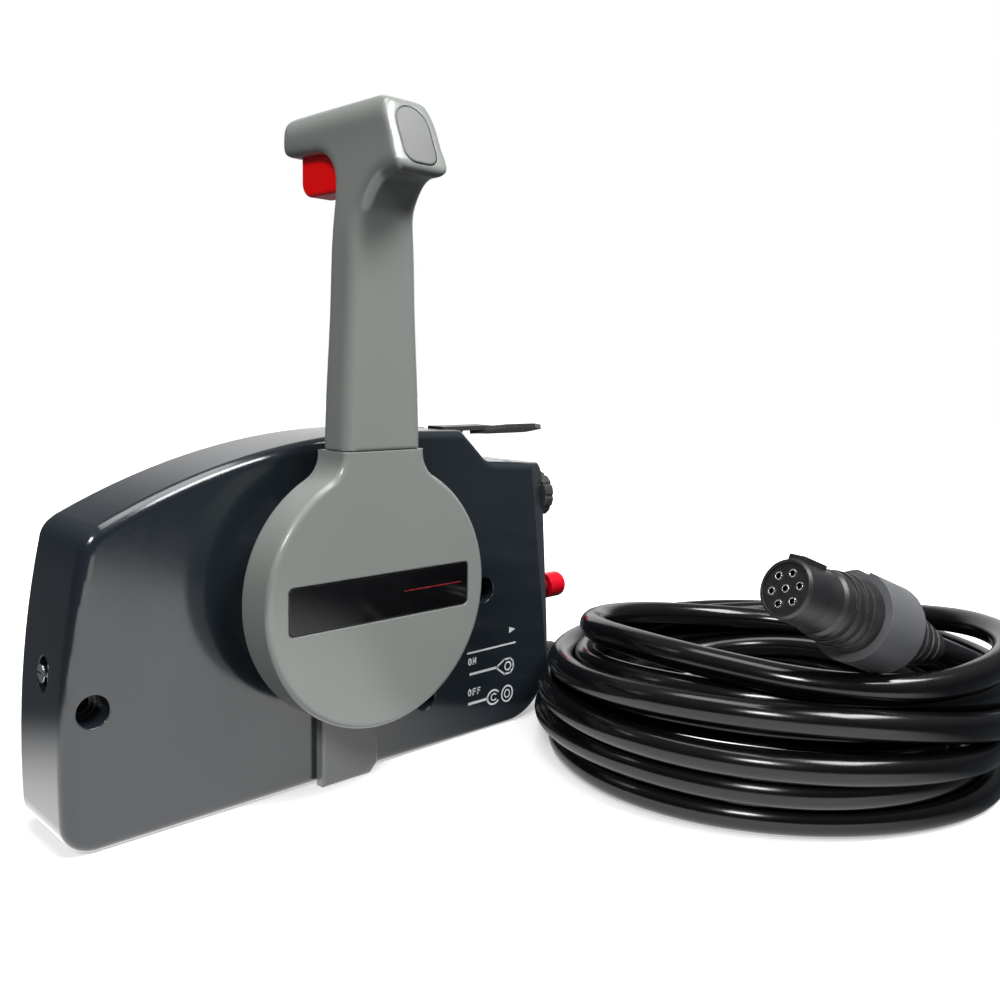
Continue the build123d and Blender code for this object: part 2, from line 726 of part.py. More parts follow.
# ---------------------------------------------------------------------------
# detent: roller on a sprung arm that rides on the notched disc
# ---------------------------------------------------------------------------
roller_a = math.radians(60.0)
roller_x, roller_z = 28.4 * math.cos(roller_a), 28.4 * math.sin(roller_a)
post_x, post_z = 38.0, 40.0
with BuildPart() as detent_roller:
    with BuildSketch(Plane.XZ.offset(11.2)):
        with Locations((roller_x, roller_z)):
            Circle(4.0)
            Circle(1.6, mode=Mode.SUBTRACT)
    extrude(amount=3.6)
detent_roller.part.label = "detent_roller"
export_step(detent_roller.part, "parts/detent_roller.step")

with BuildPart() as detent_arm:
    with BuildSketch(Plane.XZ.offset(15.4)):
        with Locations(((roller_x + post_x) / 2.0, (roller_z + post_z) / 2.0)):
            Rectangle(math.hypot(post_x - roller_x, post_z - roller_z), 7.0,
                      rotation=math.degrees(math.atan2(post_z - roller_z, post_x - roller_x)))
        with Locations((roller_x, roller_z)):
            Circle(3.5)
        with Locations((post_x, post_z)):
            Circle(6.5)
            Circle(4.0, mode=Mode.SUBTRACT)
    extrude(amount=2.6)
    with BuildSketch(Plane.XZ.offset(10.4)):
        with Locations((roller_x, roller_z)):
            Circle(1.5)
    extrude(amount=5.0)
detent_arm.part.label = "detent_arm"
export_step(detent_arm.part, "parts/detent_arm.step")

with BuildPart() as detent_post:
    with BuildSketch(Plane.XZ.offset(12.0)):
        with Locations((post_x, post_z)):
            Circle(4.0)
    extrude(amount=inner_y - 12.0)
detent_post.part.label = "detent_post"
export_step(detent_post.part, "parts/detent_post.step")

# flat spiral strip round the post; its inner end is held by the post and a tab at
# its outer end presses on the arm
spiral_t = 0.5
spiral_arcs = [(0.0, 4.9), (0.4, 5.3), (0.0, 5.7), (0.4, 6.1), (0.0, 6.5)]
with BuildPart() as detent_spring:
    with BuildSketch(Plane.XZ.offset(19.0)) as spiral_face:
        with BuildLine() as spiral_line:
            for half in (spiral_t / 2, -spiral_t / 2):
                for k, (c, r) in enumerate(spiral_arcs):
                    s = 1 if k % 2 == 0 else -1
                    ThreePointArc(
                        (post_x + c + s * (r + half), post_z),
                        (post_x + c, post_z + s * (r + half)),
                        (post_x + c - s * (r + half), post_z),
                    )
            Line((post_x + 4.9 - spiral_t / 2, post_z), (post_x + 4.9 + spiral_t / 2, post_z))
            Line((post_x - 6.5 - spiral_t / 2, post_z), (post_x - 6.5 + spiral_t / 2, post_z))
        make_face()
    extrude(amount=6.0)
    with BuildSketch(Plane.XZ.offset(19.0)):
        with Locations((post_x + 4.45, post_z - 0.25)):
            Rectangle(0.96, 0.5)
    extrude(amount=6.0)
    with BuildSketch(Plane.XZ.offset(17.98)):
        with Locations((post_x - 6.5, post_z - 1.0)):
            Rectangle(spiral_t, 2.0)
    extrude(amount=7.02)
detent_spring.part.label = "detent_spring"
export_step(detent_spring.part, "parts/detent_spring.step")

# ---------------------------------------------------------------------------
# throttle friction: adjuster screw, nut block and shoe lever
# ---------------------------------------------------------------------------
friction_y, friction_z = 25.0, -20.5
with BuildPart() as friction_screw:
    with BuildSketch(Plane.YZ.offset(-112.4)):
        with Locations((-friction_y, friction_z)):
            Circle(3.3)
    extrude(amount=2.6)
    with BuildSketch(Plane.YZ.offset(-112.4)):
        with Locations((-friction_y, friction_z)):
            Rectangle(7.0, 0.9)
    extrude(amount=1.1, mode=Mode.SUBTRACT)
    with BuildSketch(Plane.YZ.offset(-109.8)):
        with Locations((-friction_y, friction_z)):
            Circle(2.2)
    extrude(amount=26.0)
friction_screw.part.label = "friction_screw"
export_step(friction_screw.part, "parts/friction_screw.step")

with BuildPart() as friction_nut:
    with BuildSketch(Plane.YZ.offset(-92.0)):
        with Locations((-23.0, friction_z)):
            Rectangle(16.0, 11.0)
        with Locations((-friction_y, friction_z)):
            Circle(2.2 + run_clear, mode=Mode.SUBTRACT)
    extrude(amount=9.0)
friction_nut.part.label = "friction_nut"
export_step(friction_nut.part, "parts/friction_nut.step")

with BuildPart() as friction_lever:
    with BuildSketch(Plane.XZ.offset(12.0)):
        with Locations(((-92.0 - 18.0) / 2.0, friction_z)):
            Rectangle(74.0, 11.0)
        Circle(detent_r + 0.4, mode=Mode.SUBTRACT)
    extrude(amount=3.0)
friction_lever.part.label = "friction_lever"
export_step(friction_lever.part, "parts/friction_lever.step")

# ---------------------------------------------------------------------------
# idle lever: knuckle, flat blade and a wider tilted paddle; its pin and cam
# ---------------------------------------------------------------------------
with BuildPart() as idle_lever:
    with BuildSketch(Plane.XZ.offset(20.5)):
        with Locations((idle_cx, idle_cz)):
            Circle(5.0)
        with BuildLine():
            Polyline((idle_cx - 3.6, idle_cz + 2.0), (67.5, 60.0), (67.5, 62.2), (98.0, 62.2), (98.0, 60.0),
                     (80.0, 60.0), (idle_cx + 4.8, idle_cz + 1.0), close=True)
        make_face()
    extrude(amount=11.0)
    with BuildSketch(Plane(origin=(0, -33.0, 60.0), x_dir=(1, 0, 0), z_dir=(0, 0.21, 1))) as paddle:
        with BuildLine():
            Polyline((94.0, 1.6), (104.0, -3.0), (124.0, -3.0), (135.0, 3.0), (135.0, 15.0),
                     (108.0, 15.0), (99.0, 12.4), (94.0, 12.4), close=True)
        make_face()
        fillet(paddle.vertices().sort_by(Axis.X)[-2:], 3.2)
    extrude(amount=2.2)
    with BuildSketch(Plane.XZ.offset(15.0)):
        with Locations((idle_cx, idle_cz)):
            Circle(2.0)
    extrude(amount=20.0, mode=Mode.SUBTRACT)
idle_lever.part.label = "idle_lever"
export_step(idle_lever.part, "parts/idle_lever.step")

with BuildPart() as idle_pin:
    with BuildSketch(Plane.XZ.offset(12.2)):
        with Locations((idle_cx, idle_cz)):
            Circle(2.0)
    extrude(amount=24.6)
idle_pin.part.label = "idle_pin"
export_step(idle_pin.part, "parts/idle_pin.step")

with BuildPart() as idle_cam:
    with BuildSketch(Plane.XZ.offset(17.5)):
        with BuildLine():
            Polyline((idle_cx - 1.5, idle_cz - 4.5), (idle_cx - 8.0, idle_cz - 5.2), (idle_cx - 4.6, idle_cz + 0.5), close=True)
        make_face()
        with Locations((idle_cx, idle_cz)):
            Circle(4.6)
            Circle(2.0, mode=Mode.SUBTRACT)
    extrude(amount=3.0)
idle_cam.part.label = "idle_cam"
export_step(idle_cam.part, "parts/idle_cam.step")

# ---------------------------------------------------------------------------
# key switch and engine stop switch in the right end face
# ---------------------------------------------------------------------------
with BuildPart() as key_switch_body:
    with BuildSketch(Plane.YZ.offset(104.0)):
        with Locations((-end_y, key_z)):
            Circle(10.5)
    extrude(amount=15.0)
    with BuildSketch(Plane.YZ.offset(110.0)):
        with Locations((-end_y, key_z)):
            Circle(9.0)
    extrude(amount=26.0)
    with BuildSketch(Plane.YZ.offset(112.0)):
        with Locations((-end_y, key_z)):
            Circle(6.4)
    extrude(amount=30.0, mode=Mode.SUBTRACT)
key_switch_body.part.label = "key_switch_body"
export_step(key_switch_body.part, "parts/key_switch_body.step")

with BuildPart() as key_ring_nut:
    with BuildSketch(Plane.YZ.offset(end_x)):
        with Locations((-end_y, key_z)):
            Circle(12.0)
            Circle(9.0, mode=Mode.SUBTRACT)
            with PolarLocations(12.6, 12):
                Circle(1.2, mode=Mode.SUBTRACT)
    extrude(amount=5.4)
    chamfer(key_ring_nut.faces().sort_by(Axis.X)[-1].edges().filter_by(GeomType.CIRCLE).sort_by(SortBy.RADIUS)[-1:], 0.2)
key_ring_nut.part.label = "key_ring_nut"
export_step(key_ring_nut.part, "parts/key_ring_nut.step")

with BuildPart() as key_barrel:
    with BuildSketch(Plane.YZ.offset(112.4)):
        with Locations((-end_y, key_z)):
            Circle(6.05)
    extrude(amount=24.2)
    with BuildSketch(Plane.YZ.offset(128.0)):
        with Locations((-end_y, key_z)):
            Rectangle(1.8, 8.4)
    extrude(amount=20.0, mode=Mode.SUBTRACT)
key_barrel.part.label = "key_barrel"
export_step(key_barrel.part, "parts/key_barrel.step")

with BuildPart() as stop_switch_body:
    with BuildSketch(Plane.YZ.offset(100.0)):
        with Locations((-end_y, stop_z)):
            Circle(8.4)
    extrude(amount=end_x - wall - 100.0)
    with BuildSketch(Plane.YZ.offset(120.0)):
        with Locations((-end_y, stop_z)):
            Circle(6.8)
    extrude(amount=18.0)
    with BuildSketch(Plane.YZ.offset(116.0)):
        with Locations((-end_y, stop_z)):
            Circle(4.0)
    extrude(amount=30.0, mode=Mode.SUBTRACT)
stop_switch_body.part.label = "stop_switch_body"
export_step(stop_switch_body.part, "parts/stop_switch_body.step")

with BuildPart() as stop_switch_nut:
    with BuildSketch(Plane.YZ.offset(end_x)):
        with Locations((-end_y, stop_z)):
            RegularPolygon(10.4, 6)
            Circle(6.8, mode=Mode.SUBTRACT)
    extrude(amount=3.0)
stop_switch_nut.part.label = "stop_switch_nut"
export_step(stop_switch_nut.part, "parts/stop_switch_nut.step")

with BuildPart() as stop_button:
    with BuildSketch(Plane.XZ.offset(end_y)):
        with BuildLine():
            Polyline((121.0, stop_z), (121.0, stop_z + 3.6), (142.0, stop_z + 3.6), (142.0, stop_z + 6.6),
                     (151.0, stop_z + 6.6))
            Spline((151.0, stop_z + 6.6), (153.8, stop_z + 4.6), (155.0, stop_z), tangents=[(1, 0), (0, -1)])
            Line((155.0, stop_z), (121.0, stop_z))
        make_face()
    revolve(axis=Axis((121.0, -end_y, stop_z), (1, 0, 0)))
stop_button.part.label = "stop_button"
export_step(stop_button.part, "parts/stop_button.step")

# switches inside the box
with BuildPart() as neutral_switch:
    with BuildSketch(Plane.XZ.offset(6.2)):
        with Locations((-22.0, 38.0)):
            Rectangle(20.0, 10.0)
    extrude(amount=6.4)
    with BuildSketch(Plane.XZ.offset(8.0)):
        with Locations((-22.0, 31.5)):
            Rectangle(3.0, 4.0)
    extrude(amount=2.8)
neutral_switch.part.label = "neutral_switch"
export_step(neutral_switch.part, "parts/neutral_switch.step")

with BuildPart() as warning_buzzer:
    with BuildSketch(Plane.XZ.offset(8.0)):
        with Locations((76.0, -46.0)):
            Circle(11.0)
    extrude(amount=12.0)
    with BuildSketch(Plane.XZ.offset(20.0)):
        with Locations((76.0, -46.0)):
            Circle(8.0)
            Circle(1.4, mode=Mode.SUBTRACT)
    extrude(amount=1.5)
warning_buzzer.part.label = "warning_buzzer"
export_step(warning_buzzer.part, "parts/warning_buzzer.step")

# ---------------------------------------------------------------------------
# cable entries in the right end face
# ---------------------------------------------------------------------------
with BuildPart() as control_cable_grommet:
    with BuildSketch(Plane.YZ.offset(end_x - wall)):
        with Locations((-grommet_y, grommet_z)):
            SlotOverall(26.0, 14.0)
    extrude(amount=wall)
    with BuildSketch(Plane.YZ.offset(end_x)):
        with Locations((-grommet_y, grommet_z)):
            SlotOverall(28.0, 15.6)
    extrude(amount=2.0)
    with BuildSketch(Plane.YZ.offset(end_x - wall - 2.0)):
        with Locations((-21.2, grommet_z)):
            SlotOverall(24.8, 15.6)
    extrude(amount=2.0)
    with BuildSketch(Plane.YZ.offset(end_x - 10.0)):
        with Locations(*cable_holes):
            Circle(4.5)
    extrude(amount=20.0, mode=Mode.SUBTRACT)
control_cable_grommet.part.label = "control_cable_grommet"
export_step(control_cable_grommet.part, "parts/control_cable_grommet.step")

with BuildPart() as harness_gland:
    with BuildSketch(Plane.YZ.offset(end_x - wall)):
        with Locations((-gland_y, gland_z)):
            Circle(8.0)
    extrude(amount=wall)
    with BuildSketch(Plane.YZ.offset(end_x)):
        with Locations((-gland_y, gland_z)):
            Circle(10.6)
    extrude(amount=4.0)
harness_gland.part.label = "harness_gland"
export_step(harness_gland.part, "parts/harness_gland.step")

boot_x0, boot_x1 = end_x + 4.0, 154.0
with BuildPart() as harness_boot:
    with BuildSketch(Plane.XZ.offset(gland_y)):
        with BuildLine():
            Polyline((boot_x0, gland_z), (boot_x0, gland_z + 9.4), (boot_x0 + 4, gland_z + 9.4), (boot_x0 + 4, gland_z + 8.2),
                     (boot_x0 + 6, gland_z + 8.2), (boot_x0 + 6, gland_z + 9.0), (boot_x0 + 9, gland_z + 8.8),
                     (boot_x0 + 9, gland_z + 7.8), (boot_x0 + 11, gland_z + 7.7), (boot_x0 + 11, gland_z + 8.4),
                     (boot_x0 + 14, gland_z + 8.1), (boot_x1, gland_z + 7.2), (boot_x1, gland_z), close=True)
        make_face()
    revolve(axis=Axis((boot_x0, -gland_y, gland_z), (1, 0, 0)))
harness_boot.part.label = "harness_boot"
export_step(harness_boot.part, "parts/harness_boot.step")

# ---------------------------------------------------------------------------
# seven-way plug on the end of the harness
# ---------------------------------------------------------------------------
plug_axis = Vector(*plug_dir).normalized()
plug_side = Vector(-0.187, -0.916, 0.0).normalized()
plug_plane = Plane(origin=plug_o, x_dir=plug_side, z_dir=plug_axis)

# revolve profile plane: local x is the radius (upwards), local y runs along the plug
plug_up = plug_axis.cross(plug_side)
plug_section = Plane(origin=plug_o, x_dir=plug_up, z_dir=plug_up.cross(plug_axis))
plug_line = Axis(plug_o, tuple(plug_axis))

with BuildPart() as plug_body:
    with BuildSketch(plug_section):
        with BuildLine():
            Polyline((0, -10.0), (14.2, -10.0), (14.2, 17.0), (13.7, 17.0), (13.7, 18.6), (14.2, 18.6), (14.0, 21.0),
                     (13.2, 21.0), (13.1, 22.6), (13.6, 22.6), (13.4, 25.4), (12.5, 25.4), (12.4, 27.2),
                     (12.8, 27.2), (12.5, 30.0), (11.6, 31.5), (11.1, 38.0), (11.0, 48.6), (10.4, 50.0),
                     (9.5, 50.0), (9.5, 22.0), (0, 22.0), close=True)
        make_face()
    revolve(axis=plug_line)
    # keying rib along the top of the nose
    with BuildSketch(plug_plane.offset(36.0)):
        with Locations((0, 11.3)):
            Rectangle(7.0, 2.6)
    extrude(amount=12.5)
plug_body.part.label = "plug_body"
export_step(plug_body.part, "parts/plug_body.step")

contact_pts = [(0.0, 0.0)] + [(5.9 * math.cos(math.radians(a)), 5.9 * math.sin(math.radians(a))) for a in range(20, 380, 60)]
with BuildPart() as plug_insert:
    with BuildSketch(plug_plane.offset(22.0)):
        Circle(9.5)
        with Locations(*contact_pts):
            Circle(1.5, mode=Mode.SUBTRACT)
    extrude(amount=27.2)
plug_insert.part.label = "plug_insert"
export_step(plug_insert.part, "parts/plug_insert.step")

with BuildPart() as plug_contacts:
    with BuildSketch(plug_plane.offset(22.0)):
        with Locations(*contact_pts):
            Circle(1.5)
            Circle(1.05, mode=Mode.SUBTRACT)
    extrude(amount=27.6)
plug_contacts.part.label = "plug_contacts"
export_step(plug_contacts.part, "parts/plug_contacts.step")

with BuildPart() as plug_lock_ring:
    with BuildSketch(plug_plane.offset(-10.0)):
        Circle(17.4)
        Circle(14.2, mode=Mode.SUBTRACT)
    extrude(amount=21.0)
    with BuildSketch(plug_plane.offset(3.0)):
        with Locations((0, 17.4)):
            Rectangle(5.0, 2.4)
    extrude(amount=12.0, mode=Mode.SUBTRACT)
plug_lock_ring.part.label = "plug_lock_ring"
export_step(plug_lock_ring.part, "parts/plug_lock_ring.step")

with BuildPart() as plug_boot:
    with BuildSketch(plug_section):
        with BuildLine():
            Polyline((0, -10.0), (13.2, -10.0), (12.4, -15.0), (11.0, -15.4), (11.0, -17.0), (11.9, -17.4), (11.5, -21.0),
                     (10.0, -21.4), (10.0, -23.0), (10.9, -23.4), (10.4, -27.0), (8.9, -27.4), (8.9, -29.0),
                     (9.6, -29.4), (9.0, -33.0), (7.8, -33.4), (7.8, -35.0), (8.3, -35.4), (7.2, -41.0), (0, -41.0), close=True)
        make_face()
    revolve(axis=plug_line)
plug_boot.part.label = "plug_boot"
export_step(plug_boot.part, "parts/plug_boot.step")

# ---------------------------------------------------------------------------
# harness: lead out of the boot, then the loose coil on the floor
# ---------------------------------------------------------------------------
with BuildPart() as plug_nest:
    with BuildSketch(plug_section):
        with BuildLine():
            Polyline((0, -41.0), (13.4, -41.0), (13.4, -10.0), (17.4, -10.0), (17.4, 11.0), (14.4, 11.0),
                     (14.4, 52.0), (0, 52.0), close=True)
        make_face()
    revolve(axis=plug_line)

top_n = Vector(0.859 * 0.11, 0.513 * 0.11, 1.0).normalized()
with BuildPart() as harness_coil:
    with BuildSketch(Plane(origin=(coil_x, coil_y, 0), x_dir=(1, 0, 0), z_dir=(0, -1, 0))):
        with BuildLine():
            Polyline((coil_inner + 6, floor_z), (coil_outer - 8, floor_z), (coil_outer - 1, floor_z + 4), (coil_outer, floor_z + 10),
                     (coil_outer, -10.0), (coil_inner, -10.0), (coil_inner, floor_z + 10), close=True)
        make_face()
    revolve(axis=Axis((coil_x, coil_y, 0), (0, 0, 1)))
    split(bisect_by=Plane(origin=(coil_x, coil_y, -25.5), z_dir=top_n), keep=Keep.BOTTOM)
    # the loose turns lie clear of the box corner
    with Locations((end_x - 47.0, -face_y + 49.0, -50.0)):
        Box(100.0, 100.0, 120.0, mode=Mode.SUBTRACT)
    add(plug_nest.part, mode=Mode.SUBTRACT)
harness_coil.part.label = "harness_coil"
export_step(harness_coil.part, "parts/harness_coil.step")

lead_pts = [(boot_x1, -gland_y, gland_z), (171.0, -24.0, -65.0), (189.0, -28.5, -71.5), (212.0, -42.0, -77.6), (232.0, -62.0, -78.0)]


def corner_radii(pts):
    """Radius of each corner of a free cord: as large as its two runs allow."""
    out = []
    for a, b, c in zip(pts, pts[1:], pts[2:]):
        u = Vector(*b) - Vector(*a)
        v = Vector(*c) - Vector(*b)
        half = math.radians(u.get_angle(v)) / 2.0
        out.append(0.45 * min(u.length, v.length) / math.tan(half))
    return out


lead_radii = corner_radii(lead_pts)
print("lead radii", [round(r, 1) for r in lead_radii])
with BuildPart() as harness_lead:
    with BuildLine() as lead_path:
        FilletPolyline(*lead_pts, radius=lead_radii)
    with BuildSketch(Plane(origin=lead_pts[0], z_dir=(Vector(*lead_pts[1]) - Vector(*lead_pts[0])).normalized())):
        Circle(cord_d / 2.0)
    sweep()
    lead_length = sum(e.length for e in lead_path.edges())
    print("lead volume", round(harness_lead.part.volume, 1), "section x length",
          round(math.pi * cord_d ** 2 / 4.0 * lead_length, 1))
    add(harness_coil.part, mode=Mode.SUBTRACT)
    add(harness_boot.part, mode=Mode.SUBTRACT)
print("lead solids", len(harness_lead.part.solids()), [round(x.volume, 1) for x in harness_lead.part.solids()])
harness_lead.part.label = "harness_lead"
export_step(harness_lead.part, "parts/harness_lead.step")
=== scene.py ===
import json
import math

import bmesh
import bpy
from mathutils import Matrix, Vector


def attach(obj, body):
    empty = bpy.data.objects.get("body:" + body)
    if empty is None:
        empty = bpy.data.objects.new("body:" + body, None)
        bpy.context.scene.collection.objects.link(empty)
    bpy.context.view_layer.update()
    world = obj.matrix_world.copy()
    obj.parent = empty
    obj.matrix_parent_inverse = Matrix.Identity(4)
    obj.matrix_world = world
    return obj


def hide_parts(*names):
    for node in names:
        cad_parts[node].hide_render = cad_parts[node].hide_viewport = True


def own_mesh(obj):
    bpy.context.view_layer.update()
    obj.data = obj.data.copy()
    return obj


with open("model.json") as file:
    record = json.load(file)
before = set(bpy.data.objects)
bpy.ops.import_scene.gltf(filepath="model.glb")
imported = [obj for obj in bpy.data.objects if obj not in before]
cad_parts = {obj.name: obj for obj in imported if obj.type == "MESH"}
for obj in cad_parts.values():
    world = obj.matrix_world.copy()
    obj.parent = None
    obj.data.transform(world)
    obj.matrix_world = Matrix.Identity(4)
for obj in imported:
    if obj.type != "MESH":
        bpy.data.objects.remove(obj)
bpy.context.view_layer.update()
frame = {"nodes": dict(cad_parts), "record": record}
nodes = frame["nodes"]

# ---------------------------------------------------------------------------
# camera
# ---------------------------------------------------------------------------
az, tip, roll = math.radians(44.0916), math.radians(7.4909), math.radians(1.2119)
forward = Vector((math.sin(az) * math.cos(tip), math.cos(az) * math.cos(tip), -math.sin(tip)))
right = Vector((math.cos(az), -math.sin(az), 0.0))
up = right.cross(forward)
cam_x = right * math.cos(roll) + up * math.sin(roll)
cam_y = up * math.cos(roll) - right * math.sin(roll)
cam_z = -forward
cam_data = bpy.data.cameras.new("photo_camera")
cam_data.sensor_width = 36.0
cam_data.lens = 36.184
cam_data.clip_start = 0.01
camera = bpy.data.objects.new("photo_camera", cam_data)
bpy.context.scene.collection.objects.link(camera)
camera.matrix_world = Matrix((
    (cam_x.x, cam_y.x, cam_z.x, -0.23571),
    (cam_x.y, cam_y.y, cam_z.y, -0.38321),
    (cam_x.z, cam_y.z, cam_z.z, 0.08968),
    (0.0, 0.0, 0.0, 1.0),
))
bpy.context.scene.camera = camera

# ---------------------------------------------------------------------------
# the harness cable, from its boot to the tail of the plug
# ---------------------------------------------------------------------------
HARNESS = [
 # from the boot, down to the floor
    (0.1540, -0.0235, -0.0635), (0.1710, -0.0240, -0.0650), (0.1890, -0.0285, -0.0715),
    (0.2121, -0.0412, -0.0768), (0.2388, -0.0673, -0.0782),
    # turn 1
    (0.2618, -0.1088, -0.0778), (0.2690, -0.1577, -0.0775), (0.2539, -0.2026, -0.0777),
    (0.2202, -0.2332, -0.0780), (0.1773, -0.2432, -0.0781), (0.1347, -0.2323, -0.0780),
    (0.0994, -0.2065, -0.0780), (0.0770, -0.1712, -0.0780), (0.0721, -0.1316, -0.0780),
    (0.0858, -0.0948, -0.0780), (0.1137, -0.0674, -0.0780), (0.1491, -0.0538, -0.0780),
    (0.1858, -0.0552, -0.0780), (0.2182, -0.0706, -0.0779),
    # turn 2
    (0.2421, -0.0975, -0.0779), (0.2548, -0.1318, -0.0780), (0.2543, -0.1683, -0.0781),
    (0.2390, -0.2013, -0.0762), (0.2099, -0.2256, -0.0719), (0.1714, -0.2371, -0.0670),
    (0.1309, -0.2328, -0.0653), (0.0965, -0.2104, -0.0655), (0.0749, -0.1738, -0.0658),
    (0.0701, -0.1308, -0.0660), (0.0829, -0.0901, -0.0670), (0.1112, -0.0593, -0.0689),
    (0.1494, -0.0438, -0.0711), (0.1893, -0.0455, -0.0716), (0.2235, -0.0628, -0.0697),
    # turn 3
    (0.2466, -0.0916, -0.0672), (0.2556, -0.1265, -0.0658), (0.2504, -0.1618, -0.0670),
    (0.2332, -0.1925, -0.0691), (0.2058, -0.2144, -0.0692), (0.1716, -0.2249, -0.0667),
    (0.1359, -0.2214, -0.0626), (0.1052, -0.2020, -0.0594), (0.0858, -0.1700, -0.0593),
    (0.0816, -0.1328, -0.0625), (0.0935, -0.0987, -0.0666), (0.1188, -0.0738, -0.0691),
    (0.1525, -0.0610, -0.0688), (0.1881, -0.0609, -0.0662), (0.2194, -0.0737, -0.0618),
    # turn 4
    (0.2418, -0.0982, -0.0571), (0.2521, -0.1315, -0.0542), (0.2494, -0.1688, -0.0552),
    (0.2341, -0.2049, -0.0596), (0.2075, -0.2332, -0.0611), (0.1709, -0.2461, -0.0586),
    (0.1300, -0.2394, -0.0552), (0.0937, -0.2139, -0.0538), (0.0710, -0.1753, -0.0538),
    (0.0670, -0.1314, -0.0541), (0.0823, -0.0905, -0.0549), (0.1139, -0.0588, -0.0569),
    (0.1552, -0.0405, -0.0592), (0.1975, -0.0384, -0.0626), (0.2336, -0.0540, -0.0666),
    # turn 5
    (0.2578, -0.0849, -0.0683), (0.2676, -0.1256, -0.0642), (0.2631, -0.1682, -0.0559),
    (0.2449, -0.2041, -0.0493), (0.2141, -0.2267, -0.0483), (0.1754, -0.2334, -0.0498),
    (0.1364, -0.2248, -0.0490), (0.1041, -0.2024, -0.0464), (0.0843, -0.1699, -0.0456),
    (0.0804, -0.1328, -0.0480), (0.0931, -0.0976, -0.0524), (0.1198, -0.0696, -0.0565),
    (0.1560, -0.0528, -0.0591), (0.1960, -0.0507, -0.0594), (0.2338, -0.0646, -0.0572),
    # turn 6
    (0.2631, -0.0930, -0.0550), (0.2781, -0.1315, -0.0552), (0.2745, -0.1735, -0.0563),
    (0.2525, -0.2117, -0.0562), (0.2164, -0.2384, -0.0529), (0.1728, -0.2480, -0.0464),
    (0.1293, -0.2389, -0.0394), (0.0936, -0.2127, -0.0356), (0.0723, -0.1746, -0.0355),
    (0.0695, -0.1323, -0.0383), (0.0856, -0.0934, -0.0424), (0.1171, -0.0630, -0.0462),
    (0.1578, -0.0443, -0.0481), (0.2009, -0.0417, -0.0477), (0.2395, -0.0573, -0.0459),
    # turn 7
    (0.2673, -0.0893, -0.0441), (0.2795, -0.1317, -0.0431), (0.2732, -0.1763, -0.0429),
    (0.2504, -0.2140, -0.0423), (0.2160, -0.2363, -0.0407), (0.1765, -0.2385, -0.0385),
    (0.1390, -0.2235, -0.0368), (0.1092, -0.1982, -0.0358), (0.0908, -0.1667, -0.0357),
    (0.0864, -0.1326, -0.0373), (0.0974, -0.1005, -0.0407), (0.1222, -0.0745, -0.0446),
    (0.1561, -0.0577, -0.0474), (0.1930, -0.0532, -0.0477), (0.2273, -0.0640, -0.0457),
    # turn 8
    (0.2538, -0.0900, -0.0428), (0.2679, -0.1279, -0.0382), (0.2676, -0.1706, -0.0313),
    (0.2498, -0.2093, -0.0251), (0.2161, -0.2356, -0.0229), (0.1738, -0.2436, -0.0249),
    (0.1334, -0.2322, -0.0277), (0.1043, -0.2050, -0.0263), (0.0904, -0.1693, -0.0234),
    (0.0906, -0.1326, -0.0234), (0.1021, -0.1000, -0.0264), (0.1238, -0.0755, -0.0305),
    (0.1532, -0.0615, -0.0345), (0.1866, -0.0607, -0.0383), (0.2191, -0.0732, -0.0423),
    # turn 9
    (0.2448, -0.0980, -0.0443), (0.2577, -0.1329, -0.0439), (0.2515, -0.1737, -0.0428),
    (0.2280, -0.2110, -0.0393), (0.1987, -0.2316, -0.0328), (0.1758, -0.2269, -0.0238),
    (0.1575, -0.2232, -0.0167),
]
CABLE_D = 0.012
curve = bpy.data.curves.new("harness_cable", "CURVE")
curve.dimensions = "3D"
curve.resolution_u = 8
# a curve's box is its points and their radius, so the radius is in the points
curve.bevel_depth = 1.0
curve.bevel_resolution = 7
curve.use_fill_caps = True
spline = curve.splines.new("NURBS")
spline.points.add(len(HARNESS) - 1)
for point, co in zip(spline.points, HARNESS):
    point.co = (co[0], co[1], co[2], 1.0)
    point.radius = CABLE_D / 2
spline.order_u = 3
spline.use_endpoint_u = True
spline.use_smooth = True
cable = bpy.data.objects.new("harness_cable", curve)
bpy.context.scene.collection.objects.link(cable)
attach(cable, "box")
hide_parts("harness_lead", "harness_coil")


# ---------------------------------------------------------------------------
# materials
# ---------------------------------------------------------------------------
def link(tree, a, b):
    tree.links.new(a, b)


def noise(tree, vector, scale, detail=3.0, roughness=0.55, distortion=0.0):
    n = tree.nodes.new("ShaderNodeTexNoise")
    n.inputs["Scale"].default_value = scale
    n.inputs["Detail"].default_value = detail
    n.inputs["Roughness"].default_value = roughness
    n.inputs["Distortion"].default_value = distortion
    link(tree, vector, n.inputs["Vector"])
    return n.outputs["Fac"]


def remap(tree, value, from_min, from_max, to_min, to_max, smooth=False):
    n = tree.nodes.new("ShaderNodeMapRange")
    n.interpolation_type = "SMOOTHSTEP" if smooth else "LINEAR"
    n.inputs["From Min"].default_value = from_min
    n.inputs["From Max"].default_value = from_max
    n.inputs["To Min"].default_value = to_min
    n.inputs["To Max"].default_value = to_max
    link(tree, value, n.inputs["Value"])
    return n.outputs["Result"]


def mix(tree, factor, a, b):
    n = tree.nodes.new("ShaderNodeMix")
    n.data_type = "RGBA"
    link(tree, factor, n.inputs[0])
    for socket, v in ((n.inputs[6], a), (n.inputs[7], b)):
        if isinstance(v, tuple):
            socket.default_value = (*v, 1.0)
        else:
            link(tree, v, socket)
    return n.outputs[2]


def math_node(tree, op, a, b):
    n = tree.nodes.new("ShaderNodeMath")
    n.operation = op
    for socket, v in ((n.inputs[0], a), (n.inputs[1], b)):
        if isinstance(v, (int, float)):
            socket.default_value = v
        else:
            link(tree, v, socket)
    return n.outputs[0]


